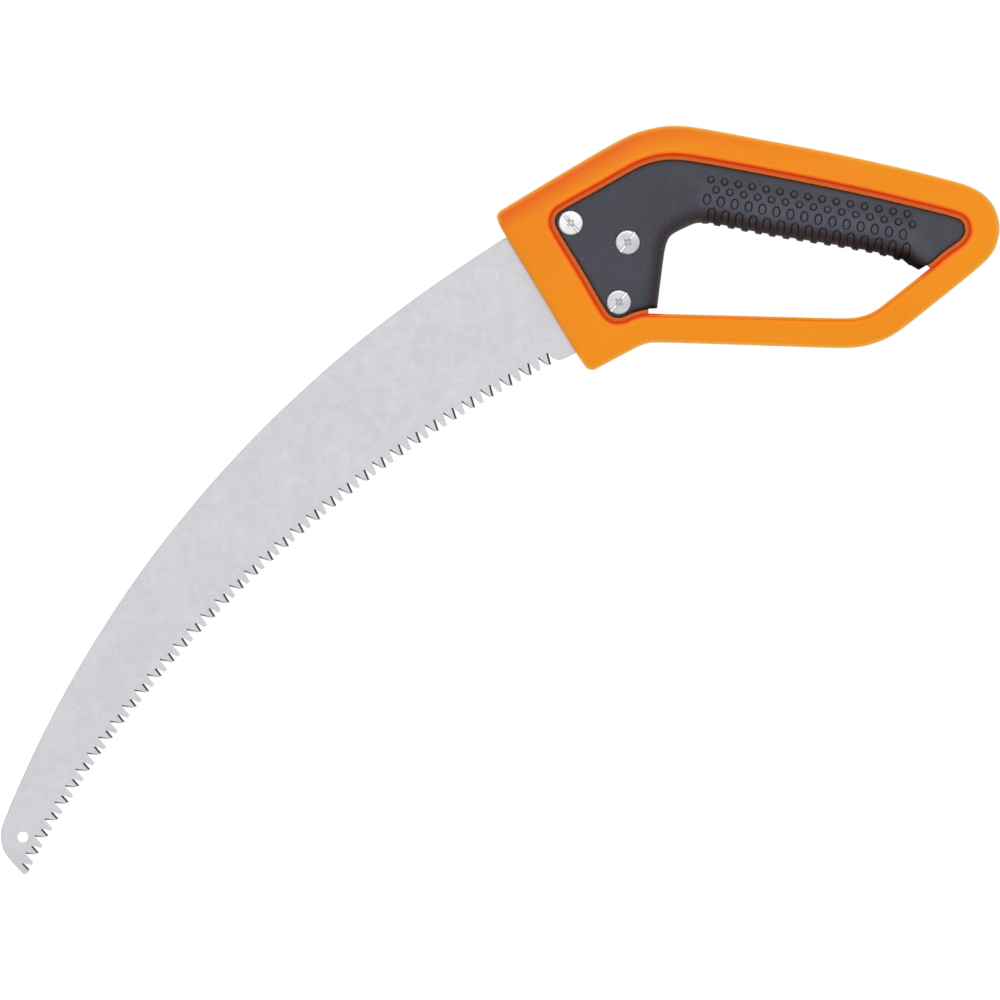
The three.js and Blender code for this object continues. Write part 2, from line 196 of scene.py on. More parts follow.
def distance(points, line, closed=False):
    """Distance from each point to a line, in batches that bound the memory used."""
    starts = line if closed else line[:-1]
    ends = np.roll(line, -1, 0) if closed else line[1:]
    spans = (ends - starts).astype(np.float32)
    starts = starts.astype(np.float32)
    squares = np.maximum((spans ** 2).sum(1), 1e-12)
    out = np.empty(len(points), np.float32)
    batch = 3000
    for i in range(0, len(points), batch):
        offset = points[i:i + batch].astype(np.float32)[:, None, :] - starts[None]
        t = np.clip((offset * spans[None]).sum(2) / squares, 0, 1)
        miss = offset - t[..., None] * spans[None]
        out[i:i + batch] = np.sqrt((miss ** 2).sum(2).min(1))
    return out.astype(float)


def inside(points, loop):
    """Whether each point is inside a loop, by counting crossings."""
    x_from, z_from = loop[:, 0], loop[:, 1]
    x_to, z_to = np.roll(x_from, -1), np.roll(z_from, -1)
    rise = np.where(np.abs(z_to - z_from) < 1e-12, 1e-12, z_to - z_from)
    out = np.zeros(len(points), bool)
    batch = 4000
    for i in range(0, len(points), batch):
        x, z = points[i:i + batch, 0][:, None], points[i:i + batch, 1][:, None]
        crossed = (z_from > z) != (z_to > z)
        crossed &= x < (x_to - x_from) * (z - z_from) / rise + x_from
        out[i:i + batch] = crossed.sum(1) % 2 == 1
    return out


def smooth(t):
    t = np.clip(t, 0, 1)
    return t * t * (3 - 2 * t)


def arc(t):
    """Quarter ellipse: 0 with an upright tangent at t = 0, 1 and level at t = 1."""
    t = np.clip(t, 0, 1)
    return np.sqrt(np.maximum(0, 1 - (1 - t) ** 2))


def circle(x, z, radius, count):
    angles = np.linspace(0, 2 * math.pi, count, endpoint=False)
    return np.column_stack([x + radius * np.cos(angles), z + radius * np.sin(angles)])


def lattice(low, high, step):
    """Points of an equilateral lattice in a box."""
    rows = []
    for j, z in enumerate(np.arange(low[1], high[1], step * 0.866)):
        x = np.arange(low[0] + (0.5 * step if j % 2 else 0), high[0], step)
        rows.append(np.column_stack([x, np.full(len(x), z)]))
    return np.vstack(rows)


def parallels(line, closed, distances, turn, field, tolerance=0.05):
    """Points on parallels left (turn 1) or right (-1) of a line, kept where field agrees."""
    normals = left_normals(line, closed) * turn
    out = []
    for offset in distances:
        points = line + normals * np.reshape(offset, (-1, 1))
        out.append(points[np.abs(field(points) - offset) < tolerance])
    return np.vstack(out)


def free_of(points, taken, gap):
    """Points with nothing of the taken set within about gap."""
    low = np.minimum(points.min(0), taken.min(0)) - 2 * gap
    cell = gap / 1.4
    size = ((np.maximum(points.max(0), taken.max(0)) - low) / cell).astype(int) + 4
    occupied = np.zeros(size, bool)
    at = ((taken - low) / cell).astype(int)
    occupied[at[:, 0], at[:, 1]] = True
    grown = occupied.copy()
    for i in (-1, 0, 1):
        for j in (-1, 0, 1):
            grown |= np.roll(np.roll(occupied, i, 0), j, 1)
    at = ((points - low) / cell).astype(int)
    return points[~grown[at[:, 0], at[:, 1]]]


def unique(points, gap=0.03):
    _, first = np.unique(np.round(points / gap).astype(np.int64), axis=0, return_index=True)
    return points[np.sort(first)]


def off_holes(points, radius):
    for x, z in HOLES:
        points = points[np.hypot(points[:, 0] - x, points[:, 1] - z) > radius]
    return points


def triangulate(loops, extra=np.zeros((0, 2)), edges=()):
    """Triangles of the area inside the first loop and outside the others.

    Returns points, counter-clockwise triangles, and each loop's point indices."""
    fixed, given, count = [], [], 0
    for loop in loops:
        ring = np.arange(count, count + len(loop))
        given.append(ring)
        fixed += zip(ring.tolist(), np.roll(ring, -1).tolist())
        count += len(loop)
    fixed += edges
    points = np.vstack(loops + [extra])
    verts, _, faces, sources, _, _ = delaunay_2d_cdt(
        [Vector(map(float, q)) for q in points], fixed, [], 0, 1e-6, True)
    verts = np.array([(q.x, q.y) for q in verts])
    new_index = np.full(len(points), -1)
    for i, old in enumerate(sources):
        for j in old:
            new_index[j] = i
    triangles = np.array([t for t in faces if len(t) == 3])
    centres = verts[triangles].mean(1)
    keep = inside(centres, loops[0])
    for hole in loops[1:]:
        keep &= ~inside(centres, hole)
    triangles = triangles[keep]
    corners = verts[triangles]
    one, two = corners[:, 1] - corners[:, 0], corners[:, 2] - corners[:, 0]
    area = one[:, 0] * two[:, 1] - one[:, 1] * two[:, 0]
    keep = np.abs(area) > 1e-10
    triangles = triangles[keep]
    clockwise = area[keep] < 0
    triangles[clockwise] = triangles[clockwise][:, ::-1]
    return verts, triangles, [new_index[ring] for ring in given]


# ------------------------------------------------------------------ meshes
def at_height(points, height):
    """(x, height, z) rows from (x, z) rows."""
    return np.column_stack([points[:, 0], np.full(len(points), height), points[:, 1]])


def wall(top, bottom):
    """Quads between two closed rings of vertex indices."""
    count = len(top)
    pairs = [(i, (i + 1) % count) for i in range(count)]
    return [(top[j], top[i], bottom[i], bottom[j]) for i, j in pairs]


def band(lower, upper):
    """Faces between two rings of a turned shape; a ring of one index is an end on the axis."""
    faces = []
    count = max(len(lower), len(upper))
    for i in range(count):
        j = (i + 1) % count
        if len(lower) == 1:
            faces.append((lower[0], upper[j], upper[i]))
        elif len(upper) == 1:
            faces.append((lower[i], lower[j], upper[0]))
        else:
            faces.append((lower[i], lower[j], upper[j], upper[i]))
    return faces


def shade_smooth(mesh, sharp):
    """Smooth shading with edges over the sharp angle, in degrees, kept crisp."""
    mesh.polygons.foreach_set("use_smooth", np.ones(len(mesh.polygons), bool))
    mesh.set_sharp_from_angle(angle=math.radians(sharp))
    mesh.update()


def new_object(name, verts, faces, materials, side, sharp=32.0, slots=None):
    """An object from drawing millimetres (x, height, z)."""
    verts = np.array(verts, float)
    verts[:, 1] *= side
    verts[:, 0] += ORIGIN_X
    verts[:, 2] += ORIGIN_Z
    verts *= 0.001
    if side > 0:
        faces = [tuple(reversed(f)) for f in faces]
    mesh = bpy.data.meshes.new(name)
    mesh.from_pydata(verts.tolist(), [], [tuple(int(i) for i in f) for f in faces])
    for material in materials:
        mesh.materials.append(material)
    if slots is not None:
        mesh.polygons.foreach_set("material_index", np.asarray(slots, np.int32))
    mesh.update()
    shade_smooth(mesh, sharp)
    made = bpy.data.objects.new(name, mesh)
    bpy.context.scene.collection.objects.link(made)
    return made


def boolean(body, cutters, sharp, operation="DIFFERENCE"):
    """Cut the cutters from the body, or join them to it, and remove them."""
    for cutter in cutters:
        modifier = body.modifiers.new("cut", "BOOLEAN")
        modifier.operation = operation
        modifier.solver = "MANIFOLD"
        modifier.object = cutter
    bpy.context.view_layer.update()
    graph = bpy.context.evaluated_depsgraph_get()
    mesh = bpy.data.meshes.new_from_object(body.evaluated_get(graph))
    body.modifiers.clear()
    old = body.data
    body.data = mesh
    mesh.name = body.name
    bpy.data.meshes.remove(old)
    for cutter in cutters:
        bpy.data.objects.remove(cutter)
    shade_smooth(mesh, sharp)


def prism(loops, low, high, side):
    """A cutter between two heights; the first loop is its outside, the rest are holes."""
    loops = [ccw(np.asarray(loop, float)) for loop in loops]
    loops[1:] = [loop[::-1] for loop in loops[1:]]
    points, triangles, rings = triangulate(loops)
    count = len(points)
    faces = [*triangles, *(triangles[:, ::-1] + count)]
    for ring in rings:
        faces += wall(ring, ring + count)
    verts = np.vstack([at_height(points, high), at_height(points, low)])
    return new_object("cutter", verts, faces, [], side)


def slab(name, loops, extra, height, seam_inset, side, material, sharp, chamfer=0.30, lift=None):
    """A solid with a height field outward and a flat inner face at the seam.

    loops[0] runs counter-clockwise and the holes clockwise. A narrow chamfer runs round the
    inner face. lift gives a further movement of the outward points."""
    points, triangles, rings = triangulate(loops, extra)
    heights = height(points)
    top = at_height(points, heights)
    move = lift(top, triangles) if lift else np.zeros_like(top)
    layers = [top + move]
    faces = list(triangles)
    count = len(top)
    low_loops, low_rings = [], []
    for ring in rings:
        loop = points[ring]
        edge = loop + move[ring][:, [0, 2]]
        low_loops.append(edge + left_normals(loop, True) * seam_inset)
        layers.append(at_height(edge, np.minimum(chamfer, heights[ring] - 0.02)))
        low_rings.append(np.arange(count, count + len(ring)))
        faces += wall(ring, low_rings[-1])
        count += len(ring)
    points, triangles, rings = triangulate(low_loops)
    layers.append(at_height(points, SEAM))
    faces += list(triangles[:, ::-1] + count)
    for upper, ring in zip(low_rings, rings):
        faces += wall(upper, ring + count)
    return new_object(name, np.vstack(layers), faces, [material], side, sharp)


def store(made, name, values):
    attribute = made.data.attributes.new(name, "FLOAT", "POINT")
    attribute.data.foreach_set("value", np.asarray(values, float))


def paint(made, fields):
    """Store each field's value(points, heights) on every vertex, for the materials to read."""
    verts = np.empty(len(made.data.vertices) * 3)
    made.data.vertices.foreach_get("co", verts)
    verts = verts.reshape(-1, 3) * 1000
    points = np.column_stack([verts[:, 0] - ORIGIN_X, verts[:, 2] - ORIGIN_Z])
    for name, field in fields.items():
        store(made, name, field(points, np.abs(verts[:, 1])))


# ------------------------------------------------------------------ shared lines
outer = even(spline(OUTER, True, 0.5), 0.8, True, 2)
guard = even(spline(GUARD_INNER, False, 0.5), 0.8, False, 2)
hidden = even(spline(CORE_HIDDEN, False, 0.5), 0.9, False, 1)
opening = np.vstack([guard, hidden])                      # counter-clockwise
border = even(spline(SKIN_BORDER, False, 0.4), 0.55, False, 2)
free_fine = even(spline(SKIN_FREE, False, 0.25), 0.2, False, 6)
free_coarse = even(free_fine, 1.0)
panel = np.vstack([border[:-1], free_fine[:-1]])          # the soft skin's outline
coarse_panel = even(np.vstack([panel, panel[:1]]), 0.8)[:-1]
hole_rings = [circle(x, z, 3.8, 40) for x, z in HOLES]


def outer_distance(points):
    return distance(points, outer, True)


def opening_distance(points):
    return distance(points, opening, True)


def skin_distance(points, outline=coarse_panel):
    """Distance from the soft skin's outline, negative inside it."""
    gap = distance(points, outline, True)
    return np.where(inside(points, panel), -gap, gap)


def upper_front_line():
    """The straight upper front edge of the handle, with the start of the arc behind it."""
    facing = -left_normals(outer, True) @ np.array([-0.49, 0.87]) > 0.80
    first = np.nonzero(facing & ~np.roll(facing, 1))[0][0]
    return np.roll(outer, -first, 0)[:int(facing.sum())][::2]


front_line = upper_front_line()

# ------------------------------------------------------------------ hard shells
# Distances of the mesh lines from the rim, the skin's fold and the guard's inner lip.
RIM_STEPS = [0.06, 0.26, 0.57, 0.99, 1.5, 2.07, 2.69, 3.1, 4.3, 6.0]
FOLD_STEPS = [0.42, 0.47, 0.9, 1.5, 2.2, 2.7, 2.84, 2.87, 2.95, 3.1, 3.35, 3.7, 4.15, 4.65, 5.3]
LIP_STEPS = [0.05, 0.16, 0.34, 0.58, 0.8, 1.05, 1.25, 1.3, 1.33, 1.42, 1.56, 1.75, 2.0, 2.3,
             2.9, 3.6]
SHELL_SHARP = 34.0
# Hollows inside the shells and the pins between them.
GUARD_POCKETS = [
    [(21, -47.2), (21, -38.6), (41, -39.2), (41, -47.8)],
    [(44, -47.9), (44, -39.3), (64, -39.8), (64, -48.4)],
    [(67, -48.5), (67, -39.9), (87, -40.5), (87, -49.1)],
    [(90, -49.2), (90, -40.6), (108, -41), (108, -49.6)]]
GRIP_POCKETS = [
    [(24, 46), (24, 18), (34, 18), (34, 44.5)],
    [(37, 43.8), (37, 18.5), (58, 14.8), (58, 39.8)],
    [(61, 39.2), (61, 14.2), (80, 10.8), (80, 35)],
    [(93, 32.4), (93, 8.6), (112, 4.8), (112, 28.2)],
    [(115, 27.6), (115, 4.2), (136, -0.2), (136, 22.8)],
    [(139, 22), (139, -0.8), (150, -4.5), (160, 3.2), (160, 17.5)]]
PINS = [(13.9, 49.5), (86.4, 38), (170.4, 9), (138.9, -31.5), (10.9, -43.2)]
TANG_ROOM = [
    (-93.5, -19.2), (-62.4, 2.3), (-48.8, 10.95), (-35.8, 19.1), (-28.6, 21.9), (-21.1, 22.4),
    (-8.4, 19.6), (6.6, 12.85), (11.8, 8.2), (12.3, 2), (9.8, -10), (7.3, -29), (3.7, -40.2),
    (-4.45, -46.35), (-15.5, -50.35), (-26.4, -55.95), (-33.6, -60), (-60, -75), (-93.5, -75)]
# Distances and height that the shell's attributes call 1.
FOLD_REACH, LIP_REACH, HEIGHT_REACH = 6.0, 4.0, 14.0


def shell_height(points):
    to_outer, to_skin, to_opening = (f(points) for f in (
        outer_distance, skin_distance, opening_distance))
    beside_skin = 1 - smooth((to_skin - 2.6) / 9.0)      # 0 on the guard bar
    level = GUARD_LEVEL + (LEDGE - GUARD_LEVEL) * beside_skin
    rise = 1.7 + 0.5 * beside_skin
    # The rim rolls over at the outside and sits lower on the upper front edge.
    rim = RIM - 3.0 * (1 - arc(to_outer / 3.0)) - 0.3 * (1 - smooth((to_outer - 1.0) / 9.0))
    rim = rim - 0.8 * (1 - smooth(distance(points, front_line) / 13.0))
    past_fold = np.minimum(to_skin - 2.85, to_opening - 1.3)
    height = np.minimum(level + (rim - level) * arc(past_fold / rise), rim)
    # The ledge beside the skin bulges a little, and the opening's edge is rounded.
    bulge = np.sin(np.clip((to_skin - 0.45) / 2.4, 0, 1) * math.pi)
    height = height + 0.10 * np.where((past_fold <= 0) & (to_skin > 0.45), bulge, 0) * beside_skin
    height = height - np.where(to_skin > 0.45, 0.8 * (1 - arc(to_opening / 0.8)), 0)
    return np.where(to_skin < 0.44, CORE, height)


def shell_points():
    def in_shell(points):
        return points[inside(points, outer) & ~inside(points, opening)]

    skin_edge = ccw(np.vstack([even(border, 0.7), even(free_fine, 1.2)[1:-1]]))
    points = off_holes(in_shell(unique(np.vstack([
        parallels(outer, True, RIM_STEPS, 1, outer_distance),
        parallels(skin_edge, True, FOLD_STEPS, -1, lambda q: skin_distance(q, panel)),
        parallels(guard, False, LIP_STEPS, -1, opening_distance)]))), 4.2)
    filler = in_shell(lattice((-66, -64), (187, 59), 2.4))
    taken = np.vstack([points, outer, opening] + hole_rings)
    return np.vstack([points, free_of(filler, taken, 1.3)])


def fold_value(points, heights):
    """Distance from the soft skin on the outward face, 1 elsewhere."""
    to_skin = skin_distance(points)
    on_face = (heights > 5.0) & (to_skin > 0.2)
    return np.where(on_face, np.clip(to_skin / FOLD_REACH, 0, 1), 1.0)


def lip_value(points, heights):
    return np.clip(opening_distance(points) / LIP_REACH, 0, 1)


def lip_share(points, heights):
    """1 on the strip just inside the guard's lip, where the lip's painted shade goes."""
    share = np.interp(opening_distance(points), [0.3, 0.85, 2.4, 3.3], [0, 1, 1, 0])
    return np.where(heights > 5.0, share, 0.0)


def warm_shade_value(points, heights):
    """Strength of the painted shade, a redder and darker orange for faces turned from the light:
    most along the upper front edge and fading along x.
    """
    x, z = points[:, 0], points[:, 1]
    gap = distance(points, front_line)
    gap = np.where((x > 5) & (z > 25), np.minimum(gap, outer_distance(points)), gap)
    edge = np.interp(gap, [0, 2.4, 4, 8, 12.5], [1.0, 1.0, 0.86, 0.50, 0.0])
    edge = edge * np.interp(
        x, [-8, 0, 12, 20, 27, 33, 39, 56, 62, 74, 92, 105, 115],
        [1.0, 0.94, 0.78, 0.74, 0.67, 0.56, 0.49, 0.42, 0.38, 0.30, 0.28, 0.22, 0.10])
    # A weaker painted shade over the rest of the face, stronger on its upper half.
    top = np.interp(x, [-60, -36, -20, 10, 40, 100, 135, 180],
                    [0.24, 0.22, 0.10, 0.10, 0.16, 0.15, 0.05, 0.0])
    low = np.interp(x, [-60, -36, -15, 60, 110], [0.15, 0.12, 0.06, 0.05, 0.0])
    return np.maximum(edge, low + (top - low) * smooth((z + 18) / 20))


def rim_highlight_value(points, heights):
    """Strength of the painted highlight on the rolled edge: little along the nose."""
    return 0.25 + 0.75 * smooth((distance(points, NOSE) - 2.0) / 3.0)


SHELL_FIELDS = {
    "fold": fold_value,
    "lip": lip_value,
    "rim_highlight": rim_highlight_value,
    "height": lambda points, heights: np.clip(heights / HEIGHT_REACH, 0, 1),
    "lip_share": lip_share,
    "warm_shade": warm_shade_value}


def make_shell(name, side, material, points):
    loops = [outer, opening[::-1]] + [ring[::-1] for ring in hole_rings]
    shell = slab(name, loops, points, shell_height, 0.22, side, material, SHELL_SHARP)
    cutters = [prism([TANG_ROOM], -0.95, 0.95, side)]
    cutters += [prism([pocket], -1, 7.6, side) for pocket in GUARD_POCKETS]
    cutters += [prism([pocket], -1, 4.4, side) for pocket in GRIP_POCKETS]
    if side > 0:
        cutters += [prism([circle(x, z, 2.35, 24)], -1, 3.5, side) for x, z in PINS]
    boolean(shell, cutters, SHELL_SHARP)
    if side < 0:
        pins = [prism([circle(x, z, 2.0, 24)], -3.0, 0.5, side) for x, z in PINS]
        boolean(shell, pins, SHELL_SHARP, "UNION")
    paint(shell, SHELL_FIELDS)
    return shell


# ------------------------------------------------------------------ soft skins
# Four rows of raised pads run along the grip: two of dots, one of ovals, one of round-ended bars.
COLUMNS = 15


def row(front, back, bow):
    """Centres from the front column to the back one, on a slightly bowed line."""
    front, back = np.array(front), np.array(back)
    shares = np.arange(COLUMNS) / (COLUMNS - 1)
    return [front + (back - front) * t - np.array([2.0 * bow * t * (1 - t), 0.0])
            for t in shares]


DOT_R = 1.54
PAD_A, OVAL_B = 1.66, 2.44            # half width of ovals and bars, half length of ovals
PAD_UP, RIB_UP, MOAT = 0.42, 1.0, 0.42
OVAL_LEAN = math.radians(5.0)         # the long pads' feet lean toward -X
DOTS = row((41.6, 31.5), (139.8, 14.3), 1.1) + row((44.15, 26.2), (142.4, 9.0), 0.9)
OVALS = row((39.57, 21.4), (137.57, 3.9), 0.7)
# Bars are (centre, half length, lean); each hangs from its top point.
BAR_B = [3.1] * 12 + [3.2, 3.35, 3.75]
BAR_LEAN = [math.radians(q) for q in [4.0] * 11 + [5.0, 6.0, 7.0, 9.0]]
BARS = [(top - np.array([math.sin(lean) * half, math.cos(lean) * half]), half, lean)
        for top, half, lean in zip(row((42.0, 16.75), (139.65, -0.65), 0.4), BAR_B, BAR_LEAN)]
# Ribs across the underside stand between the bars.
RIB_X = [38.95] + [centre[0] + 2.9 - 0.8 * k / (COLUMNS - 1) for k, centre in enumerate(
    row((42.0, 0), (139.65, 0), 0.4)[:-1])] + [139.7]
RIB_SHARE = [0.55] + [1.0] * (COLUMNS - 1) + [0.45]
# Distances of the mesh lines from a pad's outline and from a rib's x.
EDGE_STEPS = (-0.55, -0.32, -0.12, 0.06, 0.26, 0.55)
RIB_STEPS = (-2.6, -2.3, -2.0, -1.7, -1.4, -1.1, -0.6, 0.2, 0.9, 1.2, 1.45, 1.7, 2.0, 2.4)
SEAT_R, SEAT_COUNT = 6.25, 64         # round openings for the fastener heads
SKIN_SHARP = 46.0


def pad_height(edge, across):
    """Height over the skin at a signed distance from a pad's outline, negative inside."""
    raised = PAD_UP * (1 - smooth((edge + 0.42) / 0.40))
    return raised - MOAT * np.clip(1 - np.abs(edge - 0.06) / 0.36, 0, 1) ** 0.8


def pad_shade_line(edge, across):
    """Strength of the painted shade in the moat round a pad, a little heavier at its front side."""
    return np.clip(1.12 - np.abs(edge) / 0.36, 0, 1) * np.interp(across, [-0.7, 0.7], [1.0, 0.66])


def pad_frame(points, centre, lean):
    """Coordinates across and along a leaning pad."""
    x, z = points[:, 0] - centre[0], points[:, 1] - centre[1]
    return (x * math.cos(lean) - z * math.sin(lean), x * math.sin(lean) + z * math.cos(lean))


def from_pad_frame(centre, lean, x, z):
    return np.column_stack([centre[0] + x * math.cos(lean) + z * math.sin(lean),
                            centre[1] - x * math.sin(lean) + z * math.cos(lean)])


def bar_distance(points, centre, half, lean):
    """Signed distance to the outline of a leaning bar with round ends."""
    x, z = pad_frame(points, centre, lean)
    return np.hypot(x, z - np.clip(z, PAD_A - half, half - PAD_A)) - PAD_A


def pads(points, profile):
    """The profile of whichever pad is near each point, 0 away from them."""
    out = np.zeros(len(points))
    grip = np.nonzero((points[:, 0] > 34) & (points[:, 0] < 150))[0]
    points = points[grip]
    value = np.zeros(len(points))
    seen = np.zeros(len(points), bool)

    def put(edge, across):
        nonlocal value, seen
        near = edge < 0.6
        value = np.where(near & ~seen, profile(edge, across), value)
        seen = seen | near

    for centre in DOTS:
        x, z = points[:, 0] - centre[0], points[:, 1] - centre[1]
        put(np.hypot(x, z) - DOT_R, x / DOT_R)
    for centre in OVALS:
        x, z = pad_frame(points, centre, OVAL_LEAN)
        x, z = x / PAD_A, z / OVAL_B
        reach = np.hypot(x, z)
        slope = np.hypot(x / PAD_A, z / OVAL_B) / np.maximum(reach, 1e-6)
        put((reach - 1) / np.maximum(slope, 1e-6), x)
    for centre, half, lean in BARS:
        put(bar_distance(points, centre, half, lean), pad_frame(points, centre, lean)[0] / PAD_A)
    out[grip] = value
    return out


def ribs(points):
    """Height of the ribs that cross the free edge of the grip."""
    x = points[:, 0]
    out = np.zeros(len(points))
    at_edge = smooth((2.0 - distance(points, free_coarse)) / 1.5)
    for centre, share in zip(RIB_X, RIB_SHARE):
        gap = x - centre
        out = np.maximum(out, share * smooth((gap + 2.35) / 1.15) * smooth((1.9 - gap) / 0.7))
    return RIB_UP * out * at_edge * (x > 35.5)


def round_width(points):
    """Width of the rounding beside the free edge, widest along the grip."""
    x = points[:, 0]
    return 7.5 + 6.5 * smooth((x - 19) / 24) - 4.5 * smooth((x - 134) / 12)


def skin_height(points):
    x = points[:, 0]
    to_border = distance(points, border)
    swell = 3.8 * smooth(to_border / 12.5) * smooth((x - 17) / 27) * (1 - smooth((x - 137) / 18))
    edge = 0.34
    rounding = arc(distance(points, free_fine) / round_width(points))
    height = edge + (SKIN + swell - edge) * rounding
    height = height - 0.55 * (1 - arc(to_border / 0.55))
    for hole_x, hole_z in HOLES:
        radius = np.hypot(x - hole_x, points[:, 1] - hole_z)
        height = height - 0.35 * (1 - arc((radius - SEAT_R) / 0.35))
    return np.maximum(height, edge)


def free_columns():
    """Samples of the free edge, back to front: at the ribs' own x along the grip, then even."""
    end = np.nonzero(free_fine[:, 0] > 36.5)[0][-1]
    grip = free_fine[:end + 1][::-1]
    columns = [x + step for x in RIB_X for step in RIB_STEPS]
    columns += list(np.arange(max(columns) + 0.6, free_fine[0, 0] - 0.3, 0.6))
    columns = np.array(sorted(columns))
    columns = columns[columns > 36.3]
    columns = columns[np.concatenate([[True], np.diff(columns) > 0.08])]
    line = np.column_stack([columns, np.interp(columns, grip[:, 0], grip[:, 1])])[::-1]
    return line, even(free_fine[end + 1:], 0.55)


def off_pads(points, gap):
    for centre in DOTS:
        reach = np.hypot(points[:, 0] - centre[0], points[:, 1] - centre[1])
        points = points[reach > DOT_R + gap]
    for centre in OVALS:
        x, z = pad_frame(points, centre, OVAL_LEAN)
        points = points[np.hypot(x / (PAD_A + gap), z / (OVAL_B + gap)) > 1]
    for bar in BARS:
        points = points[bar_distance(points, *bar) > gap]
    return points


def pad_points():
    """Rings round each pad's outline and a few points inside it."""
    out = []
    for x, z in DOTS:
        out += [circle(x, z, DOT_R + step, 28) for step in EDGE_STEPS]
        out.append(circle(x, z, 0.6, 8))
    angles = np.linspace(0, 2 * math.pi, 34, endpoint=False)
    for centre in OVALS:
        for step in EDGE_STEPS:
            out.append(from_pad_frame(centre, OVAL_LEAN, (PAD_A + step) * np.cos(angles),
                                      (OVAL_B + step) * np.sin(angles)))
        out.append(from_pad_frame(centre, OVAL_LEAN, 0.0, np.array([-1.2, -0.4, 0.4, 1.2])))
    angles = np.linspace(0, math.pi, 15)
    for centre, half, lean in BARS:
        straight = half - PAD_A
        side_z = np.linspace(-straight, straight, 6)[1:-1]
        for step in EDGE_STEPS:
            radius = PAD_A + step
            side_x = np.full(len(side_z), radius)
            x = np.concatenate([radius * np.cos(angles), -side_x, -radius * np.cos(angles), side_x])
            z = np.concatenate([straight + radius * np.sin(angles), side_z[::-1],
                                -straight - radius * np.sin(angles), side_z])
            out.append(from_pad_frame(centre, lean, x, z))
        out.append(from_pad_frame(centre, lean, 0.0, np.array([-1.8, -0.6, 0.6, 1.8])))
    return np.vstack(out)


def skin_points():
    """The skin's outline, counter-clockwise, and the points inside it."""
    line, rest = free_columns()
    outline = ccw(unique(np.vstack([border[:-1], free_fine[:1], line, rest[:-1]]), 0.02))
    rounding = [1 - math.cos(t) for t in np.radians(np.arange(6, 91, 6))]
    width = round_width(line)
    level = 1 / np.sqrt(1 + np.gradient(line[:, 1], line[:, 0]) ** 2)
    columns = off_pads(np.vstack([
        np.column_stack([line[:, 0], line[:, 1] + width * t / level]) for t in rounding]), 0.7)
    front = parallels(rest, False, [round_width(rest) * t for t in rounding], -1,
                      lambda q: distance(q, free_fine), 0.08)
    front = front[front[:, 0] < 37.2]
    beside_shell = parallels(border, False, (0.05, 0.16, 0.33, 0.55, 1.2), -1,
                             lambda q: distance(q, border), 0.03)
    seats = [circle(x, z, SEAT_R + step, SEAT_COUNT)
             for x, z in HOLES for step in (0.04, 0.14, 0.35, 0.8)]
    points = unique(np.vstack([pad_points(), columns, front, beside_shell] + seats), 0.05)
    fine = lattice((30, -15), (152, 32), 0.9)
    filler = np.vstack([fine, free_of(lattice((-37, -39), (170, 43), 1.5), fine, 1.0)])
    taken = np.vstack([points, outline] + [circle(x, z, SEAT_R, SEAT_COUNT) for x, z in HOLES])
    points = np.vstack([points, free_of(filler, taken, 0.75)])
    points = off_holes(points[inside(points, outline)], SEAT_R + 0.02)
    return outline, points[distance(points, outline, True) > 0.03]


def grip_painted_shading(points, heights):
    """Painted light and shade: a painted highlight along the crown of the grip, painted shade where
    the skin rolls under and at its edges.
    """
    x, z = points[:, 0], points[:, 1]
    to_free = distance(points, free_coarse)
    crown = np.interp(
        to_free, [0, 2.5, 4, 5, 6, 7, 8, 9, 10, 12, 14.5, 16, 18, 20, 22, 25, 27],
        [0.42, 0.40, 0.50, 0.72, 0.98, 1.26, 1.46, 1.56, 1.60, 1.62, 1.44, 1.38, 1.24, 1.24,
         1.18, 1.06, 1.0])
    plain = np.interp(to_free, [0, 2.2, 5.2, 6.8, 9.5], [0.74, 0.68, 0.72, 0.90, 1.0])
    on_grip = smooth((x - 30) / 12) * (1 - smooth((x - 142) / 14))
    painted_shading = plain * (1 - on_grip) + crown * on_grip
    # Painted shade makes the two corners where the free edge meets the hard shell nearly black.
    back = 0.5 * smooth((x - 102) / 22) + 0.5 * smooth((x - 130) / 10)
    corner = np.interp(to_free, [0, 1.5, 3.5, 6.5], [0.12, 0.20, 0.58, 1.0])
    painted_shading = painted_shading * (1 - back * (1 - corner))
    # Painted contact shade: a dark line along the skin's edge against the hard shell, wider and
    # deeper at the lower front.
    to_border = distance(points, border)
    front = smooth((x + 6) / 12) * smooth((-24 - z) / 8)
    line = np.interp(to_border / (1 + 0.9 * front), [0, 0.5, 1.0, 1.7], [0.42, 0.46, 0.80, 1.0])
    return painted_shading * line * (1 - 0.55 * front * (1 - smooth(to_border / 3.2)))


def groove_shade_value(points, heights):
    """Painted shade in the moats round the pads, fading out at the free edge."""
    return (np.where(heights > 3, pads(points, pad_shade_line), 0)
            * smooth((distance(points, free_coarse) - 0.6) / 2.2))


def skin_lift(top, triangles):
    """Movement along the surface normal that raises the pads and ribs."""
    mirror = np.array([1, -1, 1])                # turns heights into -Y, so normals point outward
    corners = top[triangles] * mirror
    facing = np.cross(corners[:, 1] - corners[:, 0], corners[:, 2] - corners[:, 0])
    normals = np.zeros_like(top)
    for k in range(3):
        np.add.at(normals, triangles[:, k], facing)
    # At the free edge the other skin is a mirror image, so the normal has no Y part.
    normals[top[:, 1] < 0.4, 1] = 0
    normals /= np.maximum(np.linalg.norm(normals, axis=1)[:, None], 1e-12)
    points = top[:, [0, 2]]
    return normals * mirror * (pads(points, pad_height) + ribs(points))[:, None]


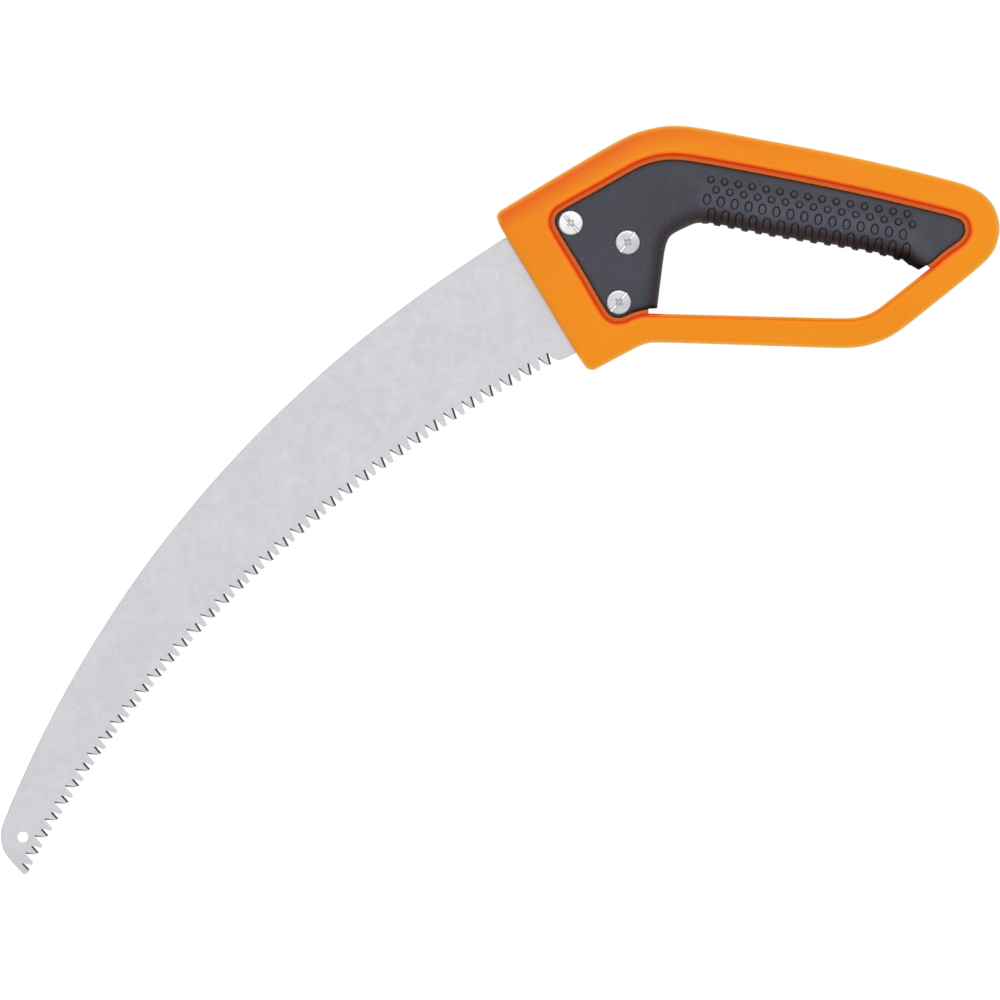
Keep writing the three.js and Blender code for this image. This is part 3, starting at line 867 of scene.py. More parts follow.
def make_skin(name, side, material, outline, points):
    loops = [outline] + [circle(x, z, SEAT_R, SEAT_COUNT)[::-1] for x, z in HOLES]
    skin = slab(name, loops, points, skin_height, 0.18, side, material, SKIN_SHARP,
                chamfer=0.26, lift=skin_lift)
    # Room for the hard core: everything low and outside the slightly shrunken opening.
    around = [(-90, -90), (210, -90), (210, 90), (-90, 90)]
    inset = opening + left_normals(opening, True) * 0.15
    boolean(skin, [prism([around, inset], -1, 6.9, side)], SKIN_SHARP)
    paint(skin, {"groove_shade": groove_shade_value, "painted_shading": grip_painted_shading})
    return skin


# ------------------------------------------------------------------ blade
HALF = 0.65                          # half thickness
EASED = HALF - 0.22                  # height of the eased smooth edges
DEEP, MID = -0.38, 0.05              # heights of the ground edges
TEETH = 72
ROOT_GAP = 0.13                      # from a gullet's middle to a tooth's foot
TIP_HOLE = (-302.4, -297.3, 2.7)     # x, z, radius
TIP_HOLE_COUNT = 56
# Quartics along the blade, t = 0 at the point and 1 at the last tooth: even teeth, odd teeth.
TIP_X = [(-7.09, 10.593, 88.343, 166.805, -297.838), (0.979, -6.32, 97.785, 166.017, -297.206)]
TIP_Z = [(-21.137, 29.611, -64.318, 305.003, -310.07),
         (-29.382, 48.842, -78.857, 307.937, -309.341)]
GULLET_X = [(7.285, -17.426, 105.219, 162.517, -301.708),
            (4.802, -16.224, 109.402, 160.347, -303.017)]
GULLET_Z = [(-28.679, 44.936, -72.989, 309.088, -310.522),
            (-27.639, 40.229, -68.151, 307.328, -310.124)]
# From a tip to the start and end of the tooth's top edge, (along, out), for even and odd teeth.
TOP_EDGE = [((-1.35, 0.08), (0.35, 0.62)), ((-1.70, -0.38), (0.32, 0.48))]
BACK_SLOT, EDGE_SLOT, TOP_SLOT = 1, 2, 3


def zigzag(curves_x, curves_z, count):
    k = np.arange(count)
    t = k / (TEETH - 1)
    return np.column_stack([
        np.where(k % 2 == 0, np.polyval(curves[0], t), np.polyval(curves[1], t))
        for curves in (curves_x, curves_z)])


def unit(vector):
    return vector / max(1e-9, math.hypot(vector[0], vector[1]))


def left_of(direction):
    return np.array([-direction[1], direction[0]])


def cross_lines(start, along, other, other_along):
    """Where the line through start meets the line through other."""
    scale = along[0] * other_along[1] - along[1] * other_along[0]
    t = ((other[0] - start[0]) * other_along[1] - (other[1] - start[1]) * other_along[0]) / scale
    return start + along * t


def inset_line(start, end, start_width, end_width):
    """Line left of an edge: a point on it, its direction and the edge's direction."""
    along = unit(end - start)
    left = left_of(along)
    first = start + left * start_width
    return first, unit(end + left * end_width - first), along


def facet_corners(foot, top_start, top_end, far_foot):
    """Inner corners of a tooth's ground facets."""
    back, back_dir, back_edge = inset_line(foot, top_start, 0.80, 0.34)
    top, top_dir, _ = inset_line(top_start, top_end, 0.42, 0.42)
    cut, cut_dir, cut_edge = inset_line(top_end, far_foot, 1.0, 1.0)
    return (back - back_edge * 0.55,
            cross_lines(back, back_dir, top, top_dir),
            cross_lines(top, top_dir, cut, cut_dir),
            far_foot + (cut - top_end) + cut_edge * 0.75)


def blade_face(outline, edge_heights, facets, point_facet):
    """One face: points, heights, triangles, rings, material slots and shade."""
    holes = [ring[::-1] for ring in hole_rings] + [circle(*TIP_HOLE, TIP_HOLE_COUNT)[::-1]]
    normals = left_normals(outline, True)
    extra, edges, facet_slots, shade = [], [], [], {}
    base = len(outline) + sum(len(hole) for hole in holes)

    def put(point):
        extra.append(point)
        return base + len(extra) - 1

    # Inner line of the eased edge.
    previous = None
    for i, height in enumerate(edge_heights):
        here = put(outline[i] + normals[i] * 0.24) if height == EASED else None
        if here is not None and previous is not None:
            edges.append((previous, here))
        previous = here
    x, z, radius = TIP_HOLE
    ring = [put(point) for point in circle(x, z, radius + 0.22, TIP_HOLE_COUNT)]
    edges += zip(ring, ring[1:] + ring[:1])
    for corners, inner in facets:
        foot, top_start, top_end, far_foot = corners
        one, two, three, four = (put(point) for point in inner)
        edges += [(foot, one), (one, two), (two, top_start), (two, three), (three, top_end),
                  (three, four), (four, far_foot)]
        facet_slots += [({foot, top_start, one, two}, BACK_SLOT),
                        ({top_end, far_foot, three, four}, EDGE_SLOT),
                        ({top_start, top_end, two, three}, TOP_SLOT)]
        shade.update({foot: 1.0, one: 1.0, top_start: 0.25, two: 0.25})
    if point_facet:
        start, end = point_facet
        along = unit(outline[end + 0] * 0 + point_along(outline, start))
        left = left_of(along)
        one = put(outline[start] + left * 0.95 + along * 0.55)
        two = put(outline[end] + left * 0.95 + along * 0.75)
        edges += [(start, one), (one, two), (two, end)]
        facet_slots.append(({start, end, one, two}, EDGE_SLOT))
    # A sparse lattice keeps the flat's triangles well shaped.
    filler = lattice((-312, -312), (12, 22), 9.0)
    filler = filler[inside(filler, outline)]
    filler = filler[distance(filler, outline, True) > 4.5]
    for hole in holes:
        x, z = hole.mean(0)
        filler = filler[np.hypot(filler[:, 0] - x, filler[:, 1] - z) > 8]
    extra = np.vstack([np.array(extra), filler])
    points, triangles, rings = triangulate([outline] + holes, extra, edges)
    # Each point's place in the input, found by position.
    given = np.vstack([outline] + holes + [extra])
    given_heights = np.full(len(given), HALF)
    given_heights[:len(outline)] = edge_heights
    given_heights[base - TIP_HOLE_COUNT:base] = HALF - 0.2
    source = np.empty(len(points), int)
    batch = 500
    for i in range(0, len(points), batch):
        gaps = ((points[i:i + batch, None, :] - given[None, :, :]) ** 2).sum(2)
        source[i:i + batch] = gaps.argmin(1)
    facets_at = {}
    for members, slot in facet_slots:
        for member in members:
            facets_at.setdefault(member, []).append((members, slot))
    slots = [next((slot for members, slot in facets_at.get(corners[0], [])
                   if members.issuperset(corners)), 0)
             for corners in source[triangles].tolist()]
    return (points, given_heights[source], triangles, rings, slots,
            [shade.get(i, 0.0) for i in source.tolist()])


def point_along(outline, start):
    """Direction of the edge at the blade's point, toward the middle of the first gullet."""
    return zigzag(GULLET_X, GULLET_Z, 1)[0] - outline[start]


def make_blade(materials):
    tips = zigzag(TIP_X, TIP_Z, TEETH)
    gullets = zigzag(GULLET_X, GULLET_Z, TEETH + 1)
    # The outline runs counter-clockwise: spine to the point, teeth back up, heel, tang.
    outline, near_heights, far_heights = [], [], []

    def add(point, near, far):
        outline.append(np.asarray(point, float))
        near_heights.append(near)
        far_heights.append(far)
        return len(outline) - 1

    for point in even(spline(SPINE, False, 1.0), 2.0, False, 1):
        add(point, EASED, EASED)
    add((-300.1, -315.4), EASED, EASED)
    point_start = add((-298.95, -313.55), DEEP, HALF)
    far_facets, near_facets = facets = [], []     # even teeth are ground on the far side
    for k in range(TEETH):
        odd = k % 2
        along = unit(gullets[k + 1] - gullets[k])
        out = -left_of(along)
        if k == 0:
            point_end = add(gullets[k] - along * ROOT_GAP, DEEP, HALF)
        corners = [gullets[k] + along * ROOT_GAP]
        corners += [tips[k] + along * forward + out * outward for forward, outward in TOP_EDGE[odd]]
        corners.append(gullets[k + 1] - along * (ROOT_GAP if k < TEETH - 1 else 0.5))
        heights = [(ground, HALF) if odd else (HALF, ground)
                   for ground in (MID, MID + 0.2, DEEP, DEEP)]
        indices = [add(corner, *pair) for corner, pair in zip(corners, heights)]
        facets[odd].append((indices, facet_corners(*corners)))
    add(gullets[-1] + unit(gullets[-1] - gullets[-2]) * ROOT_GAP, HALF, HALF)
    for point in even(spline(HEEL, False, 0.4), 0.8)[1:]:
        add(point, EASED, EASED)
    tang = even(spline(TANG, False, 1.0), 2.5)[::-1]
    for point in tang[np.argmax(tang[:, 0] >= -24.0):]:       # from where the heel's curve ends
        add(point, HALF, HALF)
    outline = np.array(outline)

    near, near_y, near_tris, near_rings, near_slots, near_shade = blade_face(
        outline, near_heights, near_facets, (point_start, point_end))
    far, far_y, far_tris, far_rings, far_slots, far_shade = blade_face(
        outline, far_heights, far_facets, None)
    count = len(near)
    faces = [*near_tris, *(far_tris[:, ::-1] + count)]
    slots = near_slots + far_slots
    for near_ring, far_ring in zip(near_rings, far_rings):
        faces += wall(near_ring, far_ring + count)
    slots += [0] * (len(faces) - len(slots))
    verts = np.vstack([at_height(near, near_y), at_height(far, -far_y)])
    blade = new_object("blade_sheet", verts, faces, materials, -1, 12.0, slots)
    store(blade, "shade", near_shade + far_shade)
    return blade


# ------------------------------------------------------------------ fasteners
SCREW_TURNS = {"upper": -49, "middle": 53, "lower": 49}       # slot directions, degrees
NUT_TURNS = {"upper": 12, "middle": -35, "lower": 78}
HEAD_R, HEAD_LOW, HEAD_TOP = 6.1, 6.90, 10.30
HEAD_SHARP = 28.0


def turned_head(name, x, z, low, side, materials):
    """Turned head with what hangs below it; low is a profile of (radius, height)."""
    count = 96
    profile = low + [
        (HEAD_R - 0.12, HEAD_LOW), (HEAD_R, 7.02), (HEAD_R, 9.70), (HEAD_R - 0.06, 9.88),
        (HEAD_R - 0.22, 10.02), (HEAD_R - 0.50, 10.09), (4.4, 10.15), (2.9, 10.22),
        (1.4, 10.28), (0.0, HEAD_TOP)]
    verts, rings = [], []
    for radius, height in profile:
        ring = circle(x, z, radius, count if radius else 1)
        rings.append(range(len(verts), len(verts) + len(ring)))
        verts += at_height(ring, height).tolist()
    faces = [face for pair in zip(rings, rings[1:]) for face in band(*pair)]
    return new_object(name, verts, faces, materials, side, HEAD_SHARP)


def cut_slot(head, x, z, turn, side, cross):
    """Stepped slot across the head, with an optional small cross recess in its middle."""
    def bar(length, width, depth, above, extra_turn=0.0):
        """length and width are halves."""
        angle = math.radians(turn + extra_turn)
        cos, sin = math.cos(angle), math.sin(angle)
        corners = ((-length, -width), (length, -width), (length, width), (-length, width))
        loop = [(x + cos * a - sin * b, z + sin * a + cos * b) for a, b in corners]
        return prism([loop], HEAD_TOP - depth, HEAD_TOP + above, side)

    cutters = [bar(7.0, 0.80, 0.25, 2), bar(7.0, 0.58, 0.50, 1.99)]
    if cross:
        cutters += [bar(length, width, depth, 1.9 - 0.01 * depth, extra_turn)
                    for extra_turn in (0.0, 90.0)
                    for length, width, depth in ((2.0, 0.56, 0.66), (1.72, 0.34, 0.95))]
    boolean(head, cutters, HEAD_SHARP)
    # The second material paints a highlight on the slot's floor, the third paints shade on its
    # stepped edge and round the recess.
    for face in head.data.polygons:
        depth = HEAD_TOP - face.center.y * side * 1000
        if abs(face.normal.y) > 0.97:
            if 0.44 < depth < 0.56:
                face.material_index = 1
            elif 0.23 < depth < 0.27 or 0.62 < depth < 0.70:
                face.material_index = 2


def threaded_stem(x, z, materials):
    """Screw stem from its tip at height -6 up into the head."""
    pitch, per_turn, steps = 0.8, 8, 48
    root, crest = 2.02, 2.34
    start = -5.65
    angles = np.linspace(0, 2 * math.pi, steps, endpoint=False)
    verts, rings = [(x, -6.0, z)], []

    def ring(radius, height):
        rings.append(range(len(verts), len(verts) + steps))
        for angle, reach in zip(angles, np.broadcast_to(radius, (steps,))):
            verts.append((x + reach * math.cos(angle), height, z + reach * math.sin(angle)))

    ring(1.55, -6.0)
    for k in range(int(10.6 / (pitch / per_turn))):
        height = start + k * pitch / per_turn
        phase = (height / pitch - angles / (2 * math.pi)) % 1.0
        ridge = np.clip((1 - np.abs(phase - 0.5) * 2 - 0.12) / 0.76, 0, 1)
        fade = max(0.0, min(1.0, (height - start) / 0.8, (4.9 - height) / 0.6))
        ring(root + (crest - root) * ridge * fade, height)
    ring(root, 5.4)
    ring(2.35, 5.8)
    ring(2.35, 7.6)
    verts.append((x, 7.6, z))
    ends = zip(band([0], rings[0]), band(rings[-1], [len(verts) - 1]))
    faces = [face for pair in ends for face in pair]
    faces += [face for pair in zip(rings, rings[1:]) for face in band(*pair)]
    return new_object("stem", verts, faces, materials, -1, 30.0)


def make_clamp_screw(place, materials):
    x, z = PLACES[place]
    stem = threaded_stem(x, z, materials)
    screw = turned_head("screw_head_" + place, x, z, [(0.0, HEAD_LOW)], -1, materials)
    boolean(screw, [stem], HEAD_SHARP, "UNION")
    cut_slot(screw, x, z, SCREW_TURNS[place], -1, cross=True)
    return screw


def make_sleeve_nut(place, materials):
    x, z = PLACES[place]
    sleeve = [(0.0, 7.9), (2.62, 7.2), (2.62, -4.9), (2.9, -5.2), (3.3, -5.2), (3.5, -5.0),
              (3.5, HEAD_LOW)]
    nut = turned_head("nut_head_" + place, x, z, sleeve, 1, materials)
    cut_slot(nut, x, z, NUT_TURNS[place], 1, cross=False)
    return nut


# ------------------------------------------------------------------ shader nodes
def srgb(*levels):
    """Linear colour from 0-255 levels."""
    shares = [level / 255.0 for level in levels]
    return (*(v / 12.92 if v <= 0.04045 else ((v + 0.055) / 1.055) ** 2.4 for v in shares), 1.0)


def set_inputs(tree, node, inputs):
    """Link each input that is given a socket, and set the others."""
    for key, value in inputs.items():
        if isinstance(value, bpy.types.NodeSocket):
            tree.links.new(value, node.inputs[key])
        else:
            node.inputs[key].default_value = value


def add_node(tree, kind, inputs={}, **settings):
    node = tree.nodes.new("ShaderNode" + kind)
    for key, value in settings.items():
        setattr(node, key, value)
    set_inputs(tree, node, inputs)
    return node


class Material:
    """A node material whose methods add a node and return its output."""

    def __init__(self, name):
        self.data = bpy.data.materials.new(name)
        self.data.use_nodes = True
        self.tree = self.data.node_tree
        self.coordinates = self.add("TexCoord").outputs

    def add(self, kind, inputs={}, **settings):
        return add_node(self.tree, kind, inputs, **settings)

    def surface(self, inputs):
        set_inputs(self.tree, self.tree.nodes["Principled BSDF"], inputs)
        return self.data

    def noise(self, scale, detail=3.0, roughness=0.55, stretch=None, turn=0.0):
        """turn is in degrees about Y."""
        vector = self.coordinates["Object"]
        if stretch:
            vector = self.add("Mapping", {
                "Scale": stretch, "Rotation": (0, math.radians(turn), 0),
                "Vector": vector}).outputs["Vector"]
        return self.add("TexNoise", {"Scale": scale, "Detail": detail, "Roughness": roughness,
                                     "Vector": vector}).outputs["Fac"]

    def ramp(self, value, stops):
        node = self.add("ValToRGB", {"Fac": value})
        elements = node.color_ramp.elements
        elements[0].position, elements[0].color = stops[0]
        elements[1].position, elements[1].color = stops[-1]
        for position, colour in stops[1:-1]:
            elements.new(position).color = colour
        return node.outputs["Color"]

    def remap(self, value, to, over=(0.0, 1.0)):
        """The value's range over, mapped to the range to."""
        return self.add("MapRange", {
            "From Min": over[0], "From Max": over[1], "To Min": to[0], "To Max": to[1],
            "Value": value}).outputs["Result"]

    def bump(self, height, strength, distance, **normal):
        return self.add("Bump", {"Strength": strength, "Distance": distance, "Height": height,
                                 **normal}).outputs["Normal"]

    def mix(self, factor, first, second, mode="MIX"):
        """Inputs 6 and 7 and output 2 are the Mix node's colour sockets."""
        return self.add("Mix", {"Factor": factor, 6: first, 7: second},
                        data_type="RGBA", blend_type=mode).outputs[2]

    def attribute(self, name):
        return self.add("Attribute", attribute_name=name).outputs["Fac"]

    def math(self, operation, *values):
        return self.add("Math", dict(enumerate(values)), operation=operation).outputs[0]

    def times(self, first, second):
        return self.math("MULTIPLY", first, second)

    def flatness(self):
        """1 where the surface faces along Y, 0 on upright walls."""
        normal = self.add("SeparateXYZ", {0: self.coordinates["Normal"]})
        return self.math("ABSOLUTE", normal.outputs["Y"])

    def brown(self, value):
        """A grey multiplier whose dark end leans to brown, used to paint shade."""
        green, blue = (
            self.times(self.math("MINIMUM", self.math("POWER", value, power), 1.0), value)
            for power in (0.50, 0.40))
        return self.add("CombineColor", {"Red": value, "Green": green,
                                         "Blue": blue}).outputs["Color"]

    def occlusion(self, distance):
        return self.add("AmbientOcclusion", {"Distance": distance}, samples=8).outputs["AO"]


# ------------------------------------------------------------------ materials
# Painted shade by distance in mm from the hand opening, and from the soft skin: the darker
# red-orange in the creases of the guard's lip and round the skin, contact shade beside the skin,
# and lighter stops on the crease walls that offset their real shading.
LIP_SHADE_COLOURS = [
    (0.5, (243, 150, 40)), (0.8, (243, 146, 36)), (1.0, (240, 134, 24)), (1.3, (240, 121, 12)),
    (1.55, (249, 125, 8)), (2.0, (250, 134, 14)), (2.5, (246, 142, 20))]
FOLD_SHADE_COLOURS = [
    (0.42, (214, 100, 32)), (1.0, (206, 103, 42)), (1.5, (206, 96, 32)), (2.0, (215, 79, 14)),
    (2.5, (212, 64, 2)), (2.85, (220, 65, 2)), (3.1, (231, 73, 4)), (3.5, (249, 95, 12)),
    (4.0, (250, 114, 20)), (4.5, (250, 129, 26)), (5.0, (249, 141, 26))]


def orange_plastic():
    m = Material("orange_nylon")
    colour = m.ramp(m.noise(scale=14.0, detail=2.0),
                    [(0.30, srgb(239, 141, 17)), (0.72, srgb(242, 145, 20))])
    flat = m.flatness()
    # Painted shade: the rolled edge and the face beside it are painted a redder, darker orange
    # where they turn from the light; the outer wall stays nearly plain.
    warm_shade = m.times(m.attribute("warm_shade"), m.remap(flat, over=(0.04, 0.30), to=(0.25, 1.0)))
    colour = m.mix(warm_shade, colour, srgb(232, 99, 14))
    # Painted highlight: rolled edges seen at a glance are painted a little yellower, standing in
    # for light wrapping round them.
    facing = m.add("LayerWeight", {"Blend": 0.5}).outputs["Facing"]
    rolled = m.times(m.remap(flat, over=(0.05, 0.35), to=(0.0, 1.0)),
                     m.remap(flat, over=(0.94, 0.985), to=(1.0, 0.0)))
    glancing = m.remap(facing, over=(0.02, 0.55), to=(0.0, 0.90))
    glow = m.times(m.times(glancing, rolled), m.attribute("rim_highlight"))
    colour = m.mix(glow, colour, srgb(255, 190, 72))
    # Painted shade: the line inside the guard's lip and the crease round the soft skin are painted
    # a darker red-orange, with contact shade next to the skin.
    lip = m.ramp(m.attribute("lip"), [(gap / LIP_REACH, srgb(*c)) for gap, c in LIP_SHADE_COLOURS])
    high = m.remap(m.attribute("height"), over=(7.9 / HEIGHT_REACH, 8.6 / HEIGHT_REACH),
                   to=(0.0, 1.0))
    colour = m.mix(m.times(m.attribute("lip_share"), high), colour, lip)
    near = m.attribute("fold")
    fold = m.ramp(near, [(gap / FOLD_REACH, srgb(*c)) for gap, c in FOLD_SHADE_COLOURS])
    near_skin = m.remap(near, over=(0.76, 0.92), to=(1.0, 0.0))
    colour = m.mix(m.times(near_skin, high), colour, fold)
    grain = m.noise(scale=2600.0, detail=2.0, roughness=0.5)
    return m.surface({
        "Base Color": colour,
        "Roughness": m.remap(m.noise(scale=900.0), to=(0.38, 0.48)),
        "Normal": m.bump(grain, strength=0.10, distance=0.00006),
        "IOR": 1.45,
        "Specular IOR Level": 0.18})


def black_rubber():
    m = Material("soft_grip_black")
    colour = m.ramp(m.noise(scale=22.0), [(0.28, srgb(54, 54, 63)), (0.74, srgb(66, 66, 77))])
    # Painted shade: walls and rounded edges, turned away from the light, are painted browner and
    # darker than the flat face.
    steep_shade = m.remap(m.flatness(), over=(0.25, 0.97), to=(0.95, 0.0))
    colour = m.mix(steep_shade, colour, srgb(32, 25, 27))
    # Painted light and shade from the skin's stored shading field multiply the colour, browner
    # where it is dark.
    colour = m.mix(1.0, colour, m.brown(m.attribute("painted_shading")), "MULTIPLY")
    grain = m.noise(scale=700.0, detail=2.0, roughness=0.6)
    colour = m.mix(m.remap(grain, over=(0.45, 0.75), to=(0.0, 0.12)), colour, srgb(104, 104, 112))
    dust = m.noise(scale=620.0, detail=1.0, roughness=0.4)
    specks = m.remap(dust, over=(0.775, 0.80), to=(0.0, 1.0))
    colour = m.mix(m.remap(specks, to=(0.0, 0.35)), colour, srgb(150, 146, 144))
    # Painted shade darkens the moats round the pads.
    groove_shade = m.remap(m.attribute("groove_shade"), to=(0.0, 0.82))
    colour = m.mix(groove_shade, colour, srgb(16, 16, 22))
    # Painted shade: occlusion darkens the colour in narrow hollows.
    crevice_shade = m.remap(m.occlusion(distance=0.0012), over=(0.30, 0.92), to=(0.8, 0.0))
    colour = m.mix(crevice_shade, colour, srgb(16, 14, 16))
    fine = m.noise(scale=3200.0, detail=2.0, roughness=0.6)
    return m.surface({
        "Base Color": colour,
        "Roughness": m.remap(m.noise(scale=180.0), to=(0.50, 0.62)),
        "Normal": m.bump(fine, strength=0.18, distance=0.00006),
        "Specular IOR Level": m.remap(m.attribute("painted_shading"), over=(0.10, 0.50), to=(0.03, 0.34)),
        "Sheen Weight": m.remap(m.attribute("painted_shading"), over=(0.15, 0.60), to=(0.0, 0.06)),
        "Sheen Roughness": 0.45})


def blade_steel():
    m = Material("blade_satin_steel")
    colour = m.ramp(m.noise(scale=34.0, detail=4.0, roughness=0.6),
                    [(0.30, srgb(218, 218, 223)), (0.70, srgb(226, 227, 231))])
    mottle = m.noise(scale=160.0, detail=4.0, roughness=0.62)
    speck = m.noise(scale=520.0, roughness=0.7)
    # Two sets of fine scratches.
    scratch = m.noise(scale=1.0, detail=2.0, roughness=0.5, stretch=(60.0, 60.0, 2600.0), turn=-46)
    other = m.noise(scale=1.0, detail=2.0, roughness=0.5, stretch=(120.0, 120.0, 3600.0), turn=-28)
    scratch = m.remap(scratch, over=(0.62, 0.72), to=(0.0, 1.0))
    other = m.remap(other, over=(0.66, 0.74), to=(0.0, 1.0))
    for factor, tint in (
            (m.remap(mottle, over=(0.40, 0.68), to=(0.0, 0.34)), (236, 237, 240)),
            (m.remap(speck, over=(0.50, 0.72), to=(0.0, 0.30)), (208, 209, 213)),
            (m.remap(scratch, to=(0.0, 0.16)), (248, 249, 250)),
            (m.remap(other, to=(0.0, 0.12)), (204, 206, 210))):
        colour = m.mix(factor, colour, srgb(*tint))
    brushed = m.noise(scale=1.0, roughness=0.6, stretch=(160.0, 160.0, 5200.0), turn=-46)
    normal = m.bump(brushed, strength=0.08, distance=0.00004)
    normal = m.bump(m.noise(scale=520.0, roughness=0.6), strength=0.10, distance=0.00006,
                    Normal=normal)
    return m.surface({
        "Base Color": colour,
        "Roughness": m.remap(mottle, to=(0.20, 0.27)),
        "Metallic": 0.94,
        "Normal": normal})


def ground_steel(name, tint, shaded=None):
    """Finely lined steel in lit and shaded copies, whose tint paints the facet's light and shade
    into its colour; shaded is the lighter colour where the shade attribute is 0, toward which the
    painted shade fades.
    """
    m = Material(name)
    lines = m.noise(scale=1.0, detail=2.0, roughness=0.5, stretch=(5200.0, 300.0, 5200.0), turn=20)
    darker = [int(level * 0.82) for level in tint]
    colour = m.ramp(lines, [(0.25, srgb(*darker)), (0.8, srgb(*tint))])
    if shaded:
        colour = m.mix(m.attribute("shade"), srgb(*shaded), colour)
    return m.surface({
        "Base Color": colour,
        "Metallic": 0.85,
        "Roughness": 0.34,
        "Normal": m.bump(lines, strength=0.15, distance=0.00003)})


def bright_zinc(name, low, high, roughness):
    """Turned zinc, clouded between two colours, with painted shade darkening it in narrow hollows.
    """
    m = Material(name)
    colour = m.ramp(m.noise(scale=150.0, detail=2.0, roughness=0.5),
                    [(0.30, srgb(*low)), (0.72, srgb(*high))])
    crevice_shade = m.remap(m.occlusion(distance=0.0007), over=(0.20, 0.85), to=(0.60, 0.0))
    return m.surface({
        "Base Color": m.mix(crevice_shade, colour, srgb(120, 122, 124)),
        "Roughness": m.remap(m.noise(scale=300.0, detail=2.0), to=(roughness, roughness + 0.08)),
        "Metallic": 0.9,
        "Anisotropic": 0.6,
        "Tangent": m.add("Tangent", direction_type="RADIAL", axis="Y").outputs["Tangent"]})


# ------------------------------------------------------------------ build
orange = orange_plastic()
black = black_rubber()
# The ground facets are lit and shaded copies of one steel: the back and edge facets are painted
# dark as shade, the top facet light, and the back facet's painted shade fades toward the blade's
# own grey.
blade_materials = [
    blade_steel(),
    ground_steel("ground_bevel_back", tint=(104, 103, 104), shaded=(205, 204, 205)),
    ground_steel("ground_bevel_edge", tint=(108, 104, 103)),
    ground_steel("ground_bevel_top", tint=(222, 219, 218))]
# Lit and shaded copies of one zinc: a lighter copy paints a highlight on the upper screw's head, a
# whiter one paints the highlight on slot floors, and a darker one paints shade on the slot's
# stepped edge and round the recess.
zinc, zinc_lit_copy, zinc_slot_highlight, zinc_edge_shade = (
    bright_zinc("bright_zinc" + ending, low, high, roughness)
    for ending, low, high, roughness in (
        ("", (206, 208, 210), (226, 228, 229), 0.24),
        ("_light", (236, 237, 238), (250, 250, 250), 0.26),
        ("_slot", (244, 245, 245), (252, 252, 252), 0.30),
        ("_edge", (128, 130, 133), (146, 148, 150), 0.30)))


def register(made, body, node):
    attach(made, body)
    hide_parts(node)


MAIN = "handle_and_blade"
SIDES = ((-1, "near"), (1, "far"))
inner_points = shell_points()
for side, word in SIDES:
    shell = make_shell(word + "_hard_shell", side, orange, inner_points)
    register(shell, MAIN, word + "_shell")
skin_outline, inner_points = skin_points()
for side, word in SIDES:
    skin = make_skin(word + "_soft_skin", side, black, skin_outline, inner_points)
    register(skin, MAIN, word + "_grip_skin")
register(make_blade(blade_materials), MAIN, "saw_blade")
for place in PLACES:
    head_zinc = zinc_lit_copy if place == "upper" else zinc
    screw = make_clamp_screw(place, [head_zinc, zinc_slot_highlight, zinc_edge_shade])
    register(screw, "clamp_screw_" + place, "clamp_screw_" + place)
    nut = make_sleeve_nut(place, [zinc, zinc_slot_highlight, zinc_edge_shade])
    register(nut, "sleeve_nut_" + place, "sleeve_nut_" + place)

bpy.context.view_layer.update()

# ------------------------------------------------------------------ stage, in metres
scene = bpy.context.scene
scene.view_settings.view_transform = "Standard"
scene.view_settings.look = "None"
scene.view_settings.exposure = 0.0
scene.view_settings.gamma = 1.0


def floor_material():
    """Pale floor that glows more for the camera than for the saw."""
    material = bpy.data.materials.new("pale_floor")
    material.use_nodes = True
    tree = material.node_tree
    tree.nodes.clear()
    camera_ray = add_node(tree, "LightPath").outputs["Is Camera Ray"]
    glow = add_node(tree, "MapRange", {"To Min": 0.34, "To Max": 0.72, "Value": camera_ray})
    emission = add_node(tree, "Emission", {"Strength": glow.outputs["Result"]})
    diffuse = add_node(tree, "BsdfDiffuse", {"Color": (0.50, 0.50, 0.50, 1)})
    both = add_node(tree, "AddShader", {0: diffuse.outputs[0], 1: emission.outputs[0]})
    add_node(tree, "OutputMaterial", {"Surface": both.outputs[0]})
    return material


def make_floor(half=12.0, gap=0.0005):
    mesh = bpy.data.meshes.new("floor")
    corners = ((-half, -half), (half, -half), (half, half), (-half, half))
    mesh.from_pydata([(x, y, cad_low.z - gap) for x, y in corners], [], [(0, 1, 2, 3)])
    mesh.materials.append(floor_material())
    floor = bpy.data.objects.new("floor", mesh)
    scene.collection.objects.link(floor)


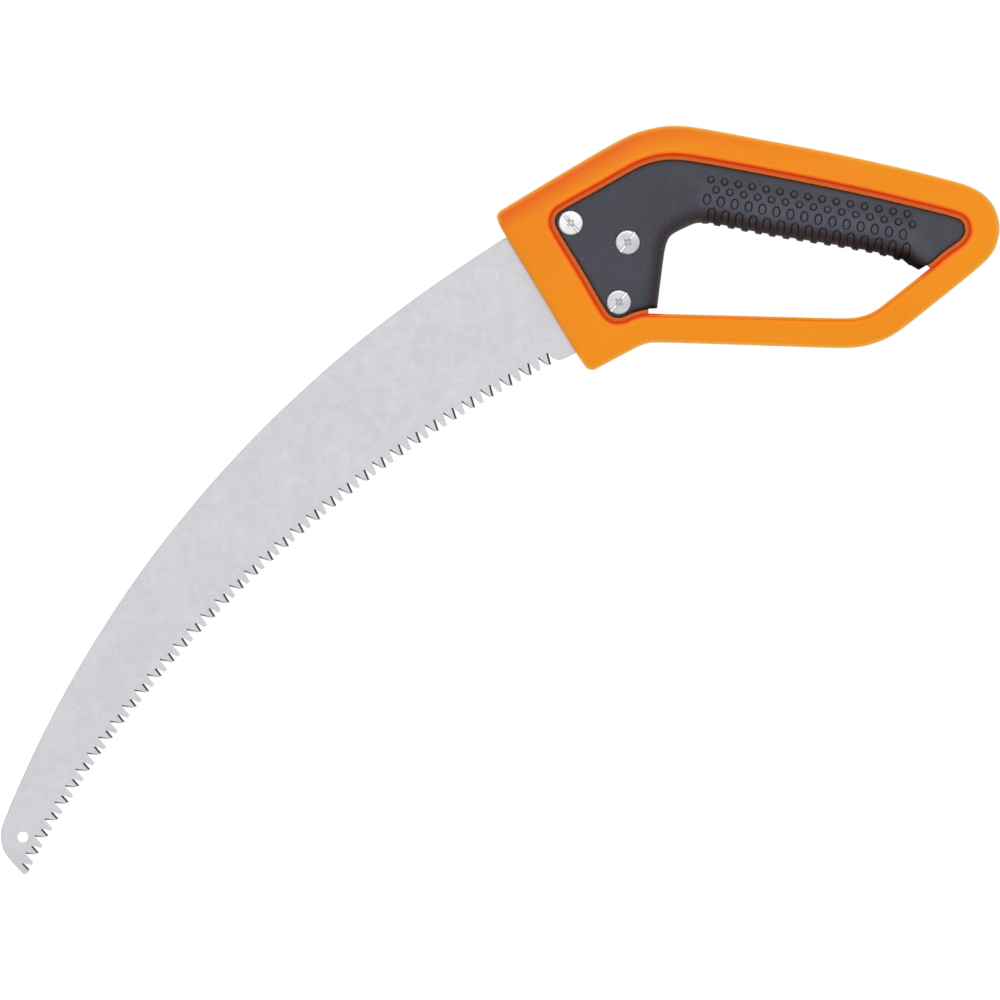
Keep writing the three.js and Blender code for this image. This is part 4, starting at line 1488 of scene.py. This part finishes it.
def make_world():
    """White for the camera; for the saw, brighter from above and from along Y."""
    world = bpy.data.worlds.new("studio")
    scene.world = world
    world.use_nodes = True
    tree = world.node_tree
    tree.nodes.clear()
    white = (1, 1, 1, 1)
    generated = add_node(tree, "TexCoord").outputs["Generated"]
    direction = add_node(tree, "SeparateXYZ", {0: generated}).outputs
    above = add_node(tree, "MapRange", {
        "From Min": -1, "To Min": 0.46, "To Max": 0.58, "Value": direction["Z"]})
    along_y = add_node(tree, "Math", {0: direction["Y"]}, operation="ABSOLUTE")
    sides = add_node(tree, "MapRange", {
        "From Min": 0.25, "From Max": 1.0, "To Min": 0.0, "To Max": 0.33,
        "Value": along_y.outputs[0]}, interpolation_type="SMOOTHSTEP")
    strength = add_node(tree, "Math", {0: above.outputs["Result"], 1: sides.outputs["Result"]},
                        operation="ADD")
    lit = add_node(tree, "Background", {"Color": white, "Strength": strength.outputs[0]})
    seen = add_node(tree, "Background", {"Color": white, "Strength": 1.0})
    camera_ray = add_node(tree, "LightPath").outputs["Is Camera Ray"]
    mixed = add_node(tree, "MixShader", {
        "Fac": camera_ray, 1: lit.outputs[0], 2: seen.outputs[0]})
    add_node(tree, "OutputWorld", {"Surface": mixed.outputs[0]})


def area_light(name, location, target, size, power):
    light = bpy.data.lights.new(name, "AREA")
    light.shape = "RECTANGLE"
    light.size, light.size_y = size
    light.energy = power
    lamp = bpy.data.objects.new(name, light)
    lamp.location = location
    lamp.rotation_mode = "QUATERNION"
    aim = Vector(target) - Vector(location)
    lamp.rotation_quaternion = aim.to_track_quat("-Z", "Y")
    scene.collection.objects.link(lamp)


def make_camera(centre=(-63.825, -128.775), view_width=0.5):
    """Long lens looking along +Y; centre is (x, z) in drawing mm, view_width in metres."""
    camera = bpy.data.cameras.new("camera")
    camera.lens = 1200.0
    camera.sensor_width = 36.0
    camera.clip_start, camera.clip_end = 0.05, 80.0
    viewer = bpy.data.objects.new("camera", camera)
    scene.collection.objects.link(viewer)
    viewer.location = ((ORIGIN_X + centre[0]) * 0.001,
                       -view_width * camera.lens / camera.sensor_width,
                       (ORIGIN_Z + centre[1]) * 0.001)
    viewer.rotation_mode = "QUATERNION"
    viewer.rotation_quaternion = Vector((0, 1, 0)).to_track_quat("-Z", "Z")
    scene.camera = viewer


make_floor()
make_world()
area_light("key", location=(-0.7, -2.1, 1.3), target=(0, 0, -0.02), size=(1.8, 1.4), power=15.0)
area_light("fill", location=(1.5, -1.8, 0.2), target=(0.05, 0, 0.0), size=(1.6, 1.6), power=8.5)
area_light("back", location=(0.6, 2.2, 1.4), target=(0, 0, 0), size=(1.8, 1.2), power=16.0)
make_camera()
